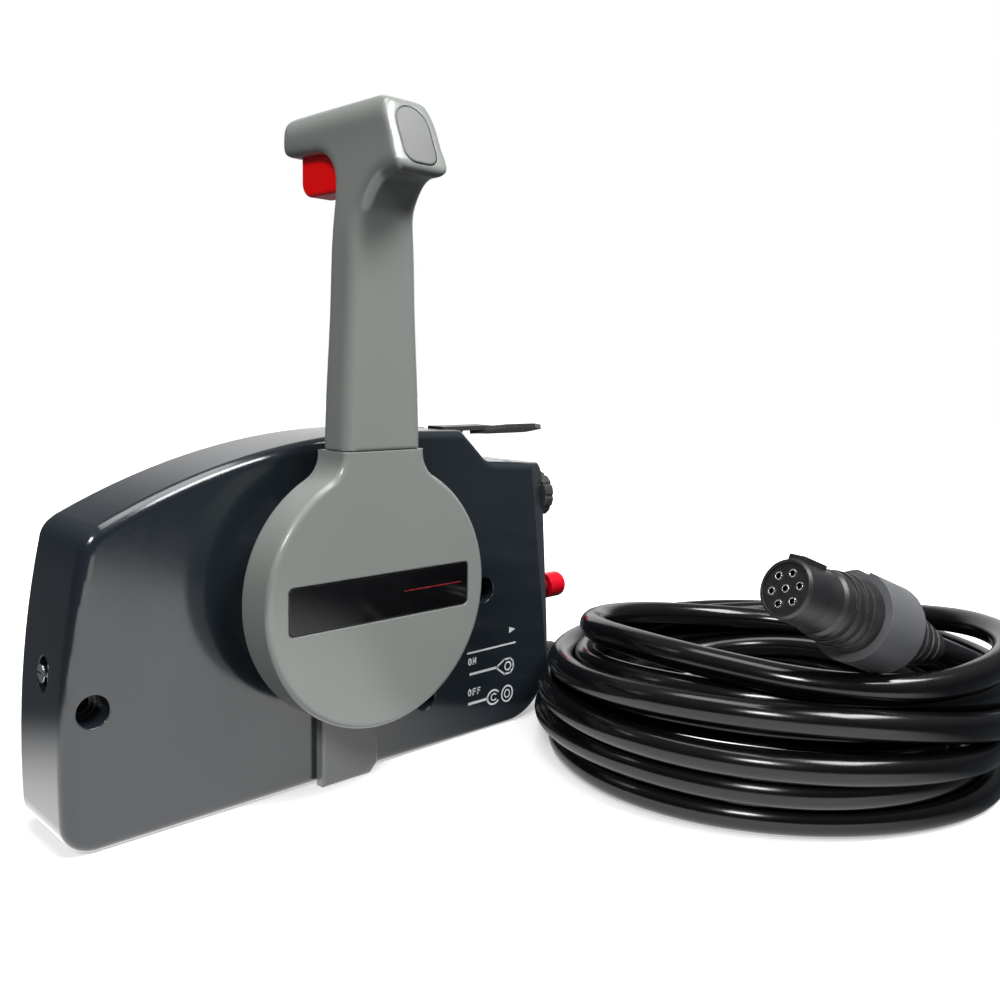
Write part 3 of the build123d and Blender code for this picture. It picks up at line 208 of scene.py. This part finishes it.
def stretched(tree, scale):
    co = tree.nodes.new("ShaderNodeTexCoord")
    m = tree.nodes.new("ShaderNodeMapping")
    m.inputs["Scale"].default_value = scale
    link(tree, co.outputs["Object"], m.inputs["Vector"])
    return m.outputs["Vector"]


def finish_of(
    name,
    low,
    high,
    worn,
    cloud=22.0,
    roughness=(0.25, 0.35),
    smudge=70.0,
    grain=2600.0,
    grain_depth=0.00002,
    swell=0.0,
    swell_scale=120.0,
    edge=0.0006,
    wear=0.5,
    metallic=0.0,
    ior=1.5,
    coat=0.0,
    coat_roughness=0.05,
    stretch=None,
    dust=0.0,
    speck=0.35,
):
    """A moulded, painted or plated surface: cloudy colour, handling marks in its
    gloss, a fine grain, rounded edges, and rubbed high spots on them."""
    m = bpy.data.materials.new(name)
    m.use_nodes = True
    tree = m.node_tree
    tree.nodes.clear()
    out = tree.nodes.new("ShaderNodeOutputMaterial")
    bsdf = tree.nodes.new("ShaderNodeBsdfPrincipled")
    link(tree, bsdf.outputs["BSDF"], out.inputs["Surface"])
    bsdf.inputs["Metallic"].default_value = metallic
    bsdf.inputs["IOR"].default_value = ior
    bsdf.inputs["Coat Weight"].default_value = coat
    bsdf.inputs["Coat Roughness"].default_value = coat_roughness
    co = tree.nodes.new("ShaderNodeTexCoord").outputs["Object"]
    where = stretched(tree, stretch) if stretch else co

    base = mix(tree, remap(tree, noise(tree, co, cloud, 4.0), 0.35, 0.65, 0.0, 1.0), low, high)
    # fine specks in the paint or the moulding
    specks = remap(tree, noise(tree, co, 1900.0, 2.0), 0.60, 0.74, 0.0, speck, True)
    base = mix(tree, specks, base, high)

    rounded = tree.nodes.new("ShaderNodeBevel")
    rounded.samples = 4
    rounded.inputs["Radius"].default_value = edge
    geometry = tree.nodes.new("ShaderNodeNewGeometry")
    dot = tree.nodes.new("ShaderNodeVectorMath")
    dot.operation = "DOT_PRODUCT"
    link(tree, rounded.outputs["Normal"], dot.inputs[0])
    link(tree, geometry.outputs["Normal"], dot.inputs[1])
    rim = remap(tree, dot.outputs["Value"], 0.995, 0.86, 0.0, 1.0)
    rub = remap(tree, noise(tree, co, 320.0, 5.0, 0.7), 0.42, 0.66, 0.0, wear, True)
    base = mix(tree, math_node(tree, "MULTIPLY", rim, rub), base, worn)
    if dust > 0.0:
        settled = remap(tree, noise(tree, co, 45.0, 6.0, 0.7, 0.4), 0.50, 0.78, 0.0, dust, True)
        base = mix(tree, settled, base, (0.30, 0.30, 0.29))
    link(tree, base, bsdf.inputs["Base Color"])

    r_lo, r_hi = roughness
    gloss = remap(tree, noise(tree, where, smudge, 5.0, 0.62, 0.3), 0.30, 0.70, r_lo, r_hi)
    fine = remap(tree, noise(tree, where, 900.0, 3.0), 0.3, 0.7, -0.02, 0.02)
    link(tree, math_node(tree, "ADD", gloss, fine), bsdf.inputs["Roughness"])

    bump = tree.nodes.new("ShaderNodeBump")
    bump.inputs["Strength"].default_value = 1.0
    bump.inputs["Distance"].default_value = grain_depth
    link(tree, noise(tree, where, grain, 3.0, 0.6), bump.inputs["Height"])
    if swell > 0.0:
        under = tree.nodes.new("ShaderNodeBump")
        under.inputs["Strength"].default_value = 1.0
        under.inputs["Distance"].default_value = swell
        link(tree, noise(tree, co, swell_scale, 2.0, 0.45), under.inputs["Height"])
        link(tree, rounded.outputs["Normal"], under.inputs["Normal"])
        link(tree, under.outputs["Normal"], bump.inputs["Normal"])
    else:
        link(tree, rounded.outputs["Normal"], bump.inputs["Normal"])
    link(tree, bump.outputs["Normal"], bsdf.inputs["Normal"])
    return m


MATERIALS = {
    "box_plastic": finish_of(
        "box_plastic", (0.0100, 0.0140, 0.0185), (0.0120, 0.0165, 0.0210), (0.07, 0.08, 0.09),
        cloud=9.0, roughness=(0.12, 0.18), smudge=24.0, grain=3200.0, grain_depth=0.000003,
        swell=0.000018, swell_scale=45.0, edge=0.0009, wear=0.12, ior=1.6,
    ),
    "cover_plastic": finish_of(
        "cover_plastic", (0.014, 0.017, 0.021), (0.022, 0.026, 0.030), (0.09, 0.10, 0.10),
        roughness=(0.38, 0.52), grain=1700.0, grain_depth=0.00004, edge=0.0006, wear=0.3,
    ),
    "grey_plastic": finish_of(
        "grey_plastic", (0.198, 0.211, 0.197), (0.210, 0.223, 0.209), (0.33, 0.34, 0.33),
        cloud=9.0, roughness=(0.17, 0.23), smudge=30.0, grain=2400.0, grain_depth=0.000003,
        swell=0.000012, swell_scale=60.0, edge=0.0008, wear=0.10, ior=1.5, speck=0.12,
    ),
    "label_black": finish_of(
        "label_black", (0.0030, 0.0030, 0.0036), (0.0050, 0.0050, 0.0058), (0.12, 0.12, 0.12),
        roughness=(0.06, 0.12), smudge=60.0, grain=3000.0, grain_depth=0.000002,
        swell=0.00002, swell_scale=80.0, edge=0.0003, wear=0.4, ior=1.40,
    ),
    "trigger_red": finish_of(
        "trigger_red", (0.88, 0.0010, 0.0018), (0.94, 0.0014, 0.0024), (0.96, 0.10, 0.09),
        roughness=(0.16, 0.24), grain=2600.0, grain_depth=0.000004, edge=0.0005, wear=0.12, ior=1.33,
    ),
    "stop_red": finish_of(
        "stop_red", (0.50, 0.0020, 0.012), (0.58, 0.0030, 0.016), (0.80, 0.12, 0.14),
        roughness=(0.18, 0.28), grain=2600.0, grain_depth=0.000004, edge=0.0004, wear=0.2, ior=1.42,
    ),
    "black_plastic": finish_of(
        "black_plastic", (0.0085, 0.0085, 0.0095), (0.0140, 0.0140, 0.0150), (0.07, 0.07, 0.07),
        roughness=(0.34, 0.48), smudge=90.0, grain=2100.0, grain_depth=0.00003, edge=0.0005, wear=0.45, dust=0.05,
    ),
    "cord_pvc": finish_of(
        "cord_pvc", (0.0022, 0.0022, 0.0026), (0.0040, 0.0040, 0.0045), (0.03, 0.03, 0.03),
        cloud=30.0, roughness=(0.13, 0.21), smudge=26.0, grain=1500.0, grain_depth=0.000006,
        swell=0.00012, swell_scale=45.0, edge=0.0002, wear=0.0, dust=0.004, ior=1.42,
    ),
    "steel": finish_of(
        "steel", (0.50, 0.50, 0.51), (0.60, 0.60, 0.61), (0.75, 0.75, 0.75),
        roughness=(0.22, 0.36), stretch=(1.0, 1.0, 14.0), smudge=160.0, grain=900.0,
        grain_depth=0.000008, edge=0.0003, wear=0.6, metallic=1.0,
    ),
    "zinc": finish_of(
        "zinc", (0.52, 0.51, 0.47), (0.66, 0.65, 0.60), (0.80, 0.80, 0.78),
        roughness=(0.26, 0.42), smudge=140.0, grain=1600.0, grain_depth=0.000008, edge=0.0003, wear=0.5, metallic=1.0,
    ),
    "chrome": finish_of(
        "chrome", (0.72, 0.72, 0.74), (0.82, 0.82, 0.84), (0.92, 0.92, 0.92),
        roughness=(0.06, 0.15), smudge=180.0, grain=1400.0, grain_depth=0.000003, edge=0.0003, wear=0.4, metallic=1.0,
    ),
    "brass": finish_of(
        "brass", (0.60, 0.44, 0.18), (0.74, 0.56, 0.26), (0.85, 0.72, 0.40),
        roughness=(0.22, 0.36), grain=1300.0, grain_depth=0.000008, edge=0.0003, wear=0.5, metallic=1.0,
    ),
    "acetal": finish_of(
        "acetal", (0.62, 0.60, 0.54), (0.74, 0.72, 0.66), (0.85, 0.84, 0.80),
        roughness=(0.35, 0.48), grain=1800.0, grain_depth=0.00002, edge=0.0004, wear=0.3,
    ),
    "dark_metal": finish_of(
        "dark_metal", (0.045, 0.045, 0.047), (0.075, 0.073, 0.070), (0.32, 0.31, 0.29),
        roughness=(0.24, 0.38), smudge=120.0, grain=1500.0, grain_depth=0.00001, edge=0.0004, wear=0.7, metallic=0.35,
    ),
}

ring_plastic = finish_of(
    "ring_plastic", (0.088, 0.090, 0.095), (0.108, 0.110, 0.115), (0.24, 0.24, 0.24),
    roughness=(0.36, 0.50), smudge=90.0, grain=2100.0, grain_depth=0.00002, edge=0.0005, wear=0.4, dust=0.03,
)
cap_plastic = finish_of(
    "cap_plastic", (0.070, 0.074, 0.070), (0.078, 0.082, 0.078), (0.24, 0.25, 0.24),
    cloud=9.0, roughness=(0.34, 0.44), smudge=30.0, grain=2400.0, grain_depth=0.000006,
    edge=0.0005, wear=0.10, ior=1.5, speck=0.12,
)
special = {"plug_lock_ring": ring_plastic, "grip_end_cap": cap_plastic}
slot_of = {s["node"]: s["material_slot"] for s in frame["record"]["subparts"]}
for name, obj in nodes.items():
    obj.data.materials.clear()
    obj.data.materials.append(special.get(name, MATERIALS[slot_of[name]]))
curve.materials.append(MATERIALS["cord_pvc"])


# ---------------------------------------------------------------------------
# the lever arm's visible form: the CAD arm with every long edge and the whole grip
# worked round, and its pockets cut again
# ---------------------------------------------------------------------------
def cad_copy(node):
    bm = bmesh.new()
    bm.from_mesh(nodes[node].data)
    bmesh.ops.remove_doubles(bm, verts=bm.verts, dist=0.000001)
    return bm


def cut_at(bm, z, keep_above):
    cut = bmesh.ops.bisect_plane(
        bm, geom=bm.verts[:] + bm.edges[:] + bm.faces[:], plane_co=(0.0, 0.0, z), plane_no=(0.0, 0.0, 1.0),
        clear_outer=not keep_above, clear_inner=keep_above,
    )
    rim = [g for g in cut["geom_cut"] if isinstance(g, bmesh.types.BMEdge)]
    bmesh.ops.triangle_fill(bm, use_beauty=True, edges=rim)
    bmesh.ops.recalc_face_normals(bm, faces=bm.faces)


def prism(bm, loop, along):
    """A closed prism on a loop of points, pushed by the vector along."""
    low = [bm.verts.new(p) for p in loop]
    high = [bm.verts.new(Vector(p) + Vector(along)) for p in loop]
    made = [bm.faces.new(low), bm.faces.new(high[::-1])]
    for i in range(len(loop)):
        j = (i + 1) % len(loop)
        made.append(bm.faces.new((low[j], low[i], high[i], high[j])))
    bmesh.ops.recalc_face_normals(bm, faces=made)


def round_loop(cx, cy, r, z, steps=32):
    return [Vector((cx + r * math.cos(2 * math.pi * i / steps), cy + r * math.sin(2 * math.pi * i / steps), z)) for i in range(steps)]


def box_loop(x0, x1, y0, y1, z):
    return [Vector((x0, y0, z)), Vector((x1, y0, z)), Vector((x1, y1, z)), Vector((x0, y1, z))]


CAP_O = Vector((0.0, -0.0923, 0.1724))
CAP_N = Vector((0.0, -0.921, 0.389)).normalized()
CAP_U = Vector((0.0, CAP_N.z, -CAP_N.y))


def cap_loop(grow, depth):
    """The outline of the end cap, round above and squarer below, in the plane of the grip's end face."""
    points = []
    for cx, cy, r, start, sweep, steps in (
        (0.0, 0.0030, 0.0074, 0.0, math.pi, 24),
        (-0.0029, -0.0078, 0.0045, math.pi, math.pi / 2, 8),
        (0.0029, -0.0078, 0.0045, 1.5 * math.pi, math.pi / 2, 8),
    ):
        for k in range(steps + 1):
            t = start + sweep * k / steps
            points.append(Vector((cx + (r + grow) * math.cos(t), cy + (r + grow) * math.sin(t))))
    return [CAP_O + Vector((1.0, 0.0, 0.0)) * p.x + CAP_U * p.y + CAP_N * depth for p in points]


def as_object(name, bm):
    mesh = bpy.data.meshes.new(name)
    bm.to_mesh(mesh)
    bm.free()
    obj = bpy.data.objects.new(name, mesh)
    bpy.context.scene.collection.objects.link(obj)
    return obj


def apply_modifiers(obj):
    bpy.context.view_layer.update()
    done = bpy.data.meshes.new_from_object(obj.evaluated_get(bpy.context.evaluated_depsgraph_get()))
    old = obj.data
    obj.modifiers.clear()
    obj.data = done
    bpy.data.meshes.remove(old)


def smoothed(obj, group, weights, steps):
    g = obj.vertex_groups.new(name=group)
    for i, w in enumerate(weights):
        if w > 0.0:
            g.add([i], w, "REPLACE")
    m = obj.modifiers.new(group, "SMOOTH")
    m.factor = 0.5
    m.iterations = steps
    m.vertex_group = group


def ramp(v, a, b):
    t = min(1.0, max(0.0, (v - a) / (b - a)))
    return t * t * (3 - 2 * t)


SEAM = 0.0575
form = cad_copy("lever_arm")
cut_at(form, 0.0530, True)
prism(form, round_loop(0.0, -0.067, 0.0032, 0.0531), (0.0, 0.0, 0.1180))
prism(form, round_loop(0.0, -0.067, 0.0049, 0.0531), (0.0, 0.0, 0.0215))
side = [(-0.0271, 0.1845), (-0.0271, 0.1706), (-0.0400, 0.1702), (-0.0455, 0.1697), (-0.0490, 0.1689), (-0.0520, 0.1672),
        (-0.0548, 0.1649), (-0.0572, 0.1618), (-0.0588, 0.1580), (-0.0720, 0.1580), (-0.0720, 0.1845)]
prism(form, [Vector((-0.0072, y, z)) for y, z in side], (0.0144, 0.0, 0.0))
prism(form, cap_loop(0.0004, -0.0036), CAP_N * 0.0036)
grip = as_object("lever_grip", form)
m = grip.modifiers.new("voxels", "REMESH")
m.mode = "VOXEL"
m.voxel_size = 0.0006
apply_modifiers(grip)
smoothed(grip, "all", [ramp(v.co.z, 0.0590, 0.0660) for v in grip.data.vertices], 16)
smoothed(grip, "head", [ramp(v.co.z, 0.1300, 0.1560) for v in grip.data.vertices], 26)
smoothed(grip, "rim", [ramp(-v.co.y, 0.0780, 0.0870) * ramp(v.co.z, 0.1730, 0.1810) for v in grip.data.vertices], 26)
smoothed(grip, "inboard", [ramp(v.co.y, -0.0400, -0.0260) for v in grip.data.vertices], 60)
apply_modifiers(grip)
grip.vertex_groups.clear()

tools = bmesh.new()
prism(tools, box_loop(-0.0065, 0.0065, -0.0715, -0.0274, 0.1500), (0.0, 0.0, 0.0335))
pockets = as_object("pocket_tool", tools)
tools = bmesh.new()
prism(tools, cap_loop(0.0, -0.0030), CAP_N * 0.0120)
cap_pocket = as_object("cap_tool", tools)
tools = bmesh.new()
prism(tools, round_loop(0.0, -0.067, 0.00275, 0.0400), (0.0, 0.0, 0.1150))
channel = as_object("channel_tool", tools)
tools = bmesh.new()
prism(tools, round_loop(0.0, -0.067, 0.0052, 0.0400), (0.0, 0.0, 0.0340))
chamber = as_object("chamber_tool", tools)
tools_used = [pockets, cap_pocket, channel, chamber]
for tool in tools_used:
    m = grip.modifiers.new(tool.name, "BOOLEAN")
    m.operation = "DIFFERENCE"
    m.solver = "EXACT"
    m.object = tool
apply_modifiers(grip)
for tool in tools_used:
    mesh = tool.data
    bpy.data.objects.remove(tool)
    bpy.data.meshes.remove(mesh)

root = cad_copy("lever_arm")
cut_at(root, 0.0536, False)
both = bmesh.new()
both.from_mesh(grip.data)
lower = bpy.data.meshes.new("lever_root")
root.to_mesh(lower)
root.free()
both.from_mesh(lower)
both.to_mesh(grip.data)
both.free()
bpy.data.meshes.remove(lower)
grip.data.polygons.foreach_set("use_smooth", [True] * len(grip.data.polygons))
grip.data.set_sharp_from_angle(angle=math.radians(38.0))
grip.data.materials.clear()
grip.data.materials.append(MATERIALS["grey_plastic"])
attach(grip, "lever")
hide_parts("lever_arm")


# the trigger's return spring, a rigid copy of the CAD spring on the lever; in the real control it is pressed together
# as the trigger lifts the rod
spring = as_object("return_spring", cad_copy("interlock_spring"))
for f in spring.data.polygons:
    f.use_smooth = True
spring.data.materials.append(MATERIALS[slot_of["interlock_spring"]])
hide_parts("interlock_spring")
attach(spring, "lever")
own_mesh(spring)

# a painted gap shadow: a thin dark strip set in the gap round the end cap, so that the gap reads as shade
cap_gap_shadow = bmesh.new()
loops = [[cap_gap_shadow.verts.new(p) for p in cap_loop(grow, depth)] for grow, depth in (
    (0.00030, 0.00012), (-0.00034, 0.00026), (-0.00034, -0.0012), (0.00030, -0.0012))]
for ring, other in zip(loops, loops[1:] + loops[:1]):
    for k in range(len(ring)):
        n = (k + 1) % len(ring)
        cap_gap_shadow.faces.new((ring[k], ring[n], other[n], other[k]))
bmesh.ops.recalc_face_normals(cap_gap_shadow, faces=list(cap_gap_shadow.faces))
cap_gap_shadow = as_object("end_cap_gap_shadow", cap_gap_shadow)
cap_gap_shadow.data.materials.append(MATERIALS["black_plastic"])
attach(cap_gap_shadow, "lever")


# ---------------------------------------------------------------------------
# thin printed marks: plates a tenth of a millimetre proud of the face they are on
# ---------------------------------------------------------------------------
def printed(name, outlines, y, thickness, material, body):
    """outlines: closed (x, z) loops in mm; each is a raised plate on the plane y (mm)."""
    bm = bmesh.new()
    for loop in outlines:
        verts = [bm.verts.new((x / 1000.0, y / 1000.0, z / 1000.0)) for x, z in loop]
        face = bm.faces.new(verts)
        made = bmesh.ops.extrude_face_region(bm, geom=[face])
        moved = [g for g in made["geom"] if isinstance(g, bmesh.types.BMVert)]
        bmesh.ops.translate(bm, verts=moved, vec=(0.0, -thickness / 1000.0, 0.0))
    bmesh.ops.recalc_face_normals(bm, faces=bm.faces)
    mesh = bpy.data.meshes.new(name)
    bm.to_mesh(mesh)
    bm.free()
    obj = bpy.data.objects.new(name, mesh)
    bpy.context.scene.collection.objects.link(obj)
    mesh.materials.append(material)
    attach(obj, body)
    return obj


def ring(cx, cz, rx, rz, width, start=0.0, end=360.0, steps=40):
    """A ring or an open hook as quads, so every outline is a simple loop."""
    loops = []
    for i in range(steps):
        a = math.radians(start + (end - start) * i / steps)
        b = math.radians(start + (end - start) * (i + 1) / steps)
        loops.append([
            (cx + rx * math.cos(a), cz + rz * math.sin(a)),
            (cx + rx * math.cos(b), cz + rz * math.sin(b)),
            (cx + (rx - width) * math.cos(b), cz + (rz - width) * math.sin(b)),
            (cx + (rx - width) * math.cos(a), cz + (rz - width) * math.sin(a)),
        ])
    return loops


def stroke(points, width):
    """A line of (x, z) points drawn with a flat pen, as joined quads."""
    loops = []
    for (x0, z0), (x1, z1) in zip(points, points[1:]):
        dx, dz = x1 - x0, z1 - z0
        n = math.hypot(dx, dz)
        ux, uz = dx / n * width / 2, dz / n * width / 2
        loops.append([
            (x0 - ux - uz, z0 - uz + ux), (x1 + ux - uz, z1 + uz + ux),
            (x1 + ux + uz, z1 + uz - ux), (x0 - ux + uz, z0 - uz - ux),
        ])
    return loops


def glyph(letter, x, z, h):
    """Plain block capitals for ON and OFF; x, z is the lower left corner, h the height."""
    w, t = h * 0.62, h * 0.2
    if letter == "O":
        return ring(x + w / 2, z + h / 2, w / 2 + 0.05, h / 2 + 0.05, t, steps=28)
    if letter == "N":
        return stroke([(x + t / 2, z + t / 2), (x + t / 2, z + h - t / 2), (x + w - t / 2, z + t / 2), (x + w - t / 2, z + h - t / 2)], t)
    out = stroke([(x + t / 2, z + t / 2), (x + t / 2, z + h - t / 2), (x + w - t / 2, z + h - t / 2)], t)
    return out + stroke([(x + t / 2, z + h * 0.52), (x + w * 0.72, z + h * 0.52)], t)


def word(text, x, z, h):
    loops = []
    for letter in text:
        loops += glyph(letter, x, z, h)
        x += h * 0.86
    return loops


print_white = finish_of(
    "legend_ink", (0.50, 0.52, 0.52), (0.62, 0.64, 0.64), (0.30, 0.31, 0.32),
    cloud=240.0, roughness=(0.35, 0.5), grain=2400.0, grain_depth=0.00001, edge=0.00005, wear=0.4,
)
print_red = finish_of(
    "label_line_ink", (0.20, 0.012, 0.014), (0.28, 0.020, 0.020), (0.10, 0.03, 0.03),
    cloud=240.0, roughness=(0.2, 0.3), grain=2400.0, grain_depth=0.00001, edge=0.00005, wear=0.3,
)
FRONT = -44.96
legend = [[(99.9, -35.1), (104.1, -36.7), (99.9, -38.2)]]
legend += stroke([(73.0, -43.5), (104.2, -43.5)], 0.8)
legend += word("ON", 73.4, -49.5, 3.4)
legend += stroke([(75.0, -53.9), (92.5, -53.9)], 1.2)
legend += stroke([(92.0, -53.9), (97.0, -50.9), (101.0, -50.8), (103.2, -52.6), (103.4, -56.0), (101.4, -58.2), (97.4, -58.3), (92.0, -54.2)], 0.8)
legend += ring(99.6, -54.5, 2.3, 2.3, 0.7, steps=30)
legend += word("OFF", 73.6, -64.5, 3.4)
legend += stroke([(74.4, -68.3), (86.0, -68.3)], 1.2)
legend += ring(90.3, -68.3, 4.4, 3.9, 0.9, 35.0, 325.0, steps=34)
legend += ring(90.6, -68.3, 2.1, 1.9, 0.6, 35.0, 325.0, steps=24)
legend += ring(99.5, -68.4, 4.0, 4.3, 0.8, steps=40)
legend += ring(99.5, -68.4, 2.0, 2.2, 0.6, steps=28)
printed("switch_legend", legend, FRONT, 0.10, print_white, "box")

printed("label_line", stroke([(9.9, 0.9), (39.6, 0.9)], 0.35), -76.46, 0.08, print_red, "lever")

# ---------------------------------------------------------------------------
# floor and studio light
# ---------------------------------------------------------------------------
def sheet_of_floor(name, centre, half, segments):
    mesh = bpy.data.meshes.new(name)
    bm = bmesh.new()
    bmesh.ops.create_grid(bm, x_segments=segments, y_segments=segments, size=half)
    bm.to_mesh(mesh)
    bm.free()
    obj = bpy.data.objects.new(name, mesh)
    obj.location = centre
    bpy.context.scene.collection.objects.link(obj)
    m = bpy.data.materials.new(name)
    m.use_nodes = True
    mesh.materials.append(m)
    return obj, m.node_tree


def distance(tree, scale):
    co = stretched(tree, scale)
    n = tree.nodes.new("ShaderNodeVectorMath")
    n.operation = "LENGTH"
    link(tree, co, n.inputs[0])
    return n.outputs["Value"]


# the pale floor, lit a little from inside so that it stays white far away
floor, tree = sheet_of_floor("studio_floor", (0.05, -0.1, -0.0842), 4.0, 8)
bsdf = tree.nodes["Principled BSDF"]
co = tree.nodes.new("ShaderNodeTexCoord").outputs["Object"]
link(tree, mix(tree, noise(tree, co, 6.0, 3.0), (0.74, 0.74, 0.74), (0.78, 0.78, 0.78)), bsdf.inputs["Base Color"])
bsdf.inputs["Roughness"].default_value = 0.85
bsdf.inputs["Specular IOR Level"].default_value = 0.1
bsdf.inputs["Emission Color"].default_value = (1.0, 1.0, 1.0, 1.0)
link(tree, remap(tree, distance(tree, (1.0, 1.0, 1.0)), 0.20, 0.7, 0.42, 1.1, True), bsdf.inputs["Emission Strength"])
floor.visible_glossy = False
floor.visible_diffuse = False

# what gloss sees of the floor: a painted reflection, a glowing sheet seen only in gloss, bright as a table top that
# ends in a dark room
reflection_sheet, tree = sheet_of_floor("painted_reflection_sheet", (-0.18, -0.37, -0.0846), 3.0, 8)
tree.nodes.clear()
out = tree.nodes.new("ShaderNodeOutputMaterial")
shine = tree.nodes.new("ShaderNodeEmission")
# painted reflection: full glow inside the ellipse, fading to the dark room colour beyond it
rim = remap(tree, distance(tree, (1.0 / 0.31, 1.0 / 0.425, 1.0)), 0.85, 1.22, 1.0, 0.0, True)
link(tree, mix(tree, rim, (0.05, 0.055, 0.06), (1.0, 1.0, 1.0)), shine.inputs["Color"])
shine.inputs["Strength"].default_value = 2.2
link(tree, shine.outputs[0], out.inputs["Surface"])
reflection_sheet.visible_camera = False
reflection_sheet.visible_diffuse = False
reflection_sheet.visible_shadow = False
reflection_sheet.visible_transmission = False


def softbox(name, at, aim, width, height, power, colour=(1.0, 1.0, 1.0)):
    data = bpy.data.lights.new(name, "AREA")
    data.shape = "RECTANGLE"
    data.size, data.size_y = width, height
    data.energy = power
    data.color = colour
    obj = bpy.data.objects.new(name, data)
    bpy.context.scene.collection.objects.link(obj)
    obj.location = at
    obj.rotation_euler = (Vector(aim) - Vector(at)).to_track_quat("-Z", "Y").to_euler()
    return obj


softbox("light_top", (-0.05, -0.05, 1.20), (0.0, -0.05, 0.0), 1.0, 0.5, 9.0)
softbox("light_left", (-0.95, -0.80, 0.85), (0.0, -0.05, 0.0), 0.30, 0.28, 13.0)
softbox("light_front", (0.32, -0.72, 1.10), (0.0, -0.05, 0.05), 0.8, 0.4, 24.0)

world = bpy.data.worlds.new("studio")
bpy.context.scene.world = world
world.use_nodes = True
tree = world.node_tree
tree.nodes.clear()
out = tree.nodes.new("ShaderNodeOutputWorld")
co = tree.nodes.new("ShaderNodeTexCoord").outputs["Generated"]
split = tree.nodes.new("ShaderNodeSeparateXYZ")
link(tree, co, split.inputs[0])
height = remap(tree, split.outputs["Z"], 0.1, 0.9, 0.0, 1.0, True)
away = tree.nodes.new("ShaderNodeVectorMath")
away.operation = "DOT_PRODUCT"
link(tree, co, away.inputs[0])
away.inputs[1].default_value = (0.695, 0.718, 0.0)
backdrop = remap(tree, away.outputs["Value"], 0.72, 0.92, 0.0, 1.0, True)
room = mix(tree, height, (0.07, 0.08, 0.09), (0.30, 0.30, 0.30))
below = remap(tree, split.outputs["Z"], -0.05, -0.5, 0.0, 1.0, True)
room = mix(tree, below, room, (0.18, 0.18, 0.18))
glow = tree.nodes.new("ShaderNodeBackground")
link(tree, mix(tree, backdrop, room, (1.0, 1.0, 1.0)), glow.inputs["Color"])
plain = tree.nodes.new("ShaderNodeBackground")
plain.inputs["Color"].default_value = (1.0, 1.0, 1.0, 1.0)
path = tree.nodes.new("ShaderNodeLightPath")
choose = tree.nodes.new("ShaderNodeMixShader")
link(tree, path.outputs["Is Camera Ray"], choose.inputs[0])
link(tree, glow.outputs[0], choose.inputs[1])
link(tree, plain.outputs[0], choose.inputs[2])
link(tree, choose.outputs[0], out.inputs["Surface"])
bpy.context.scene.view_settings.view_transform = "Standard"

bpy.context.view_layer.update()
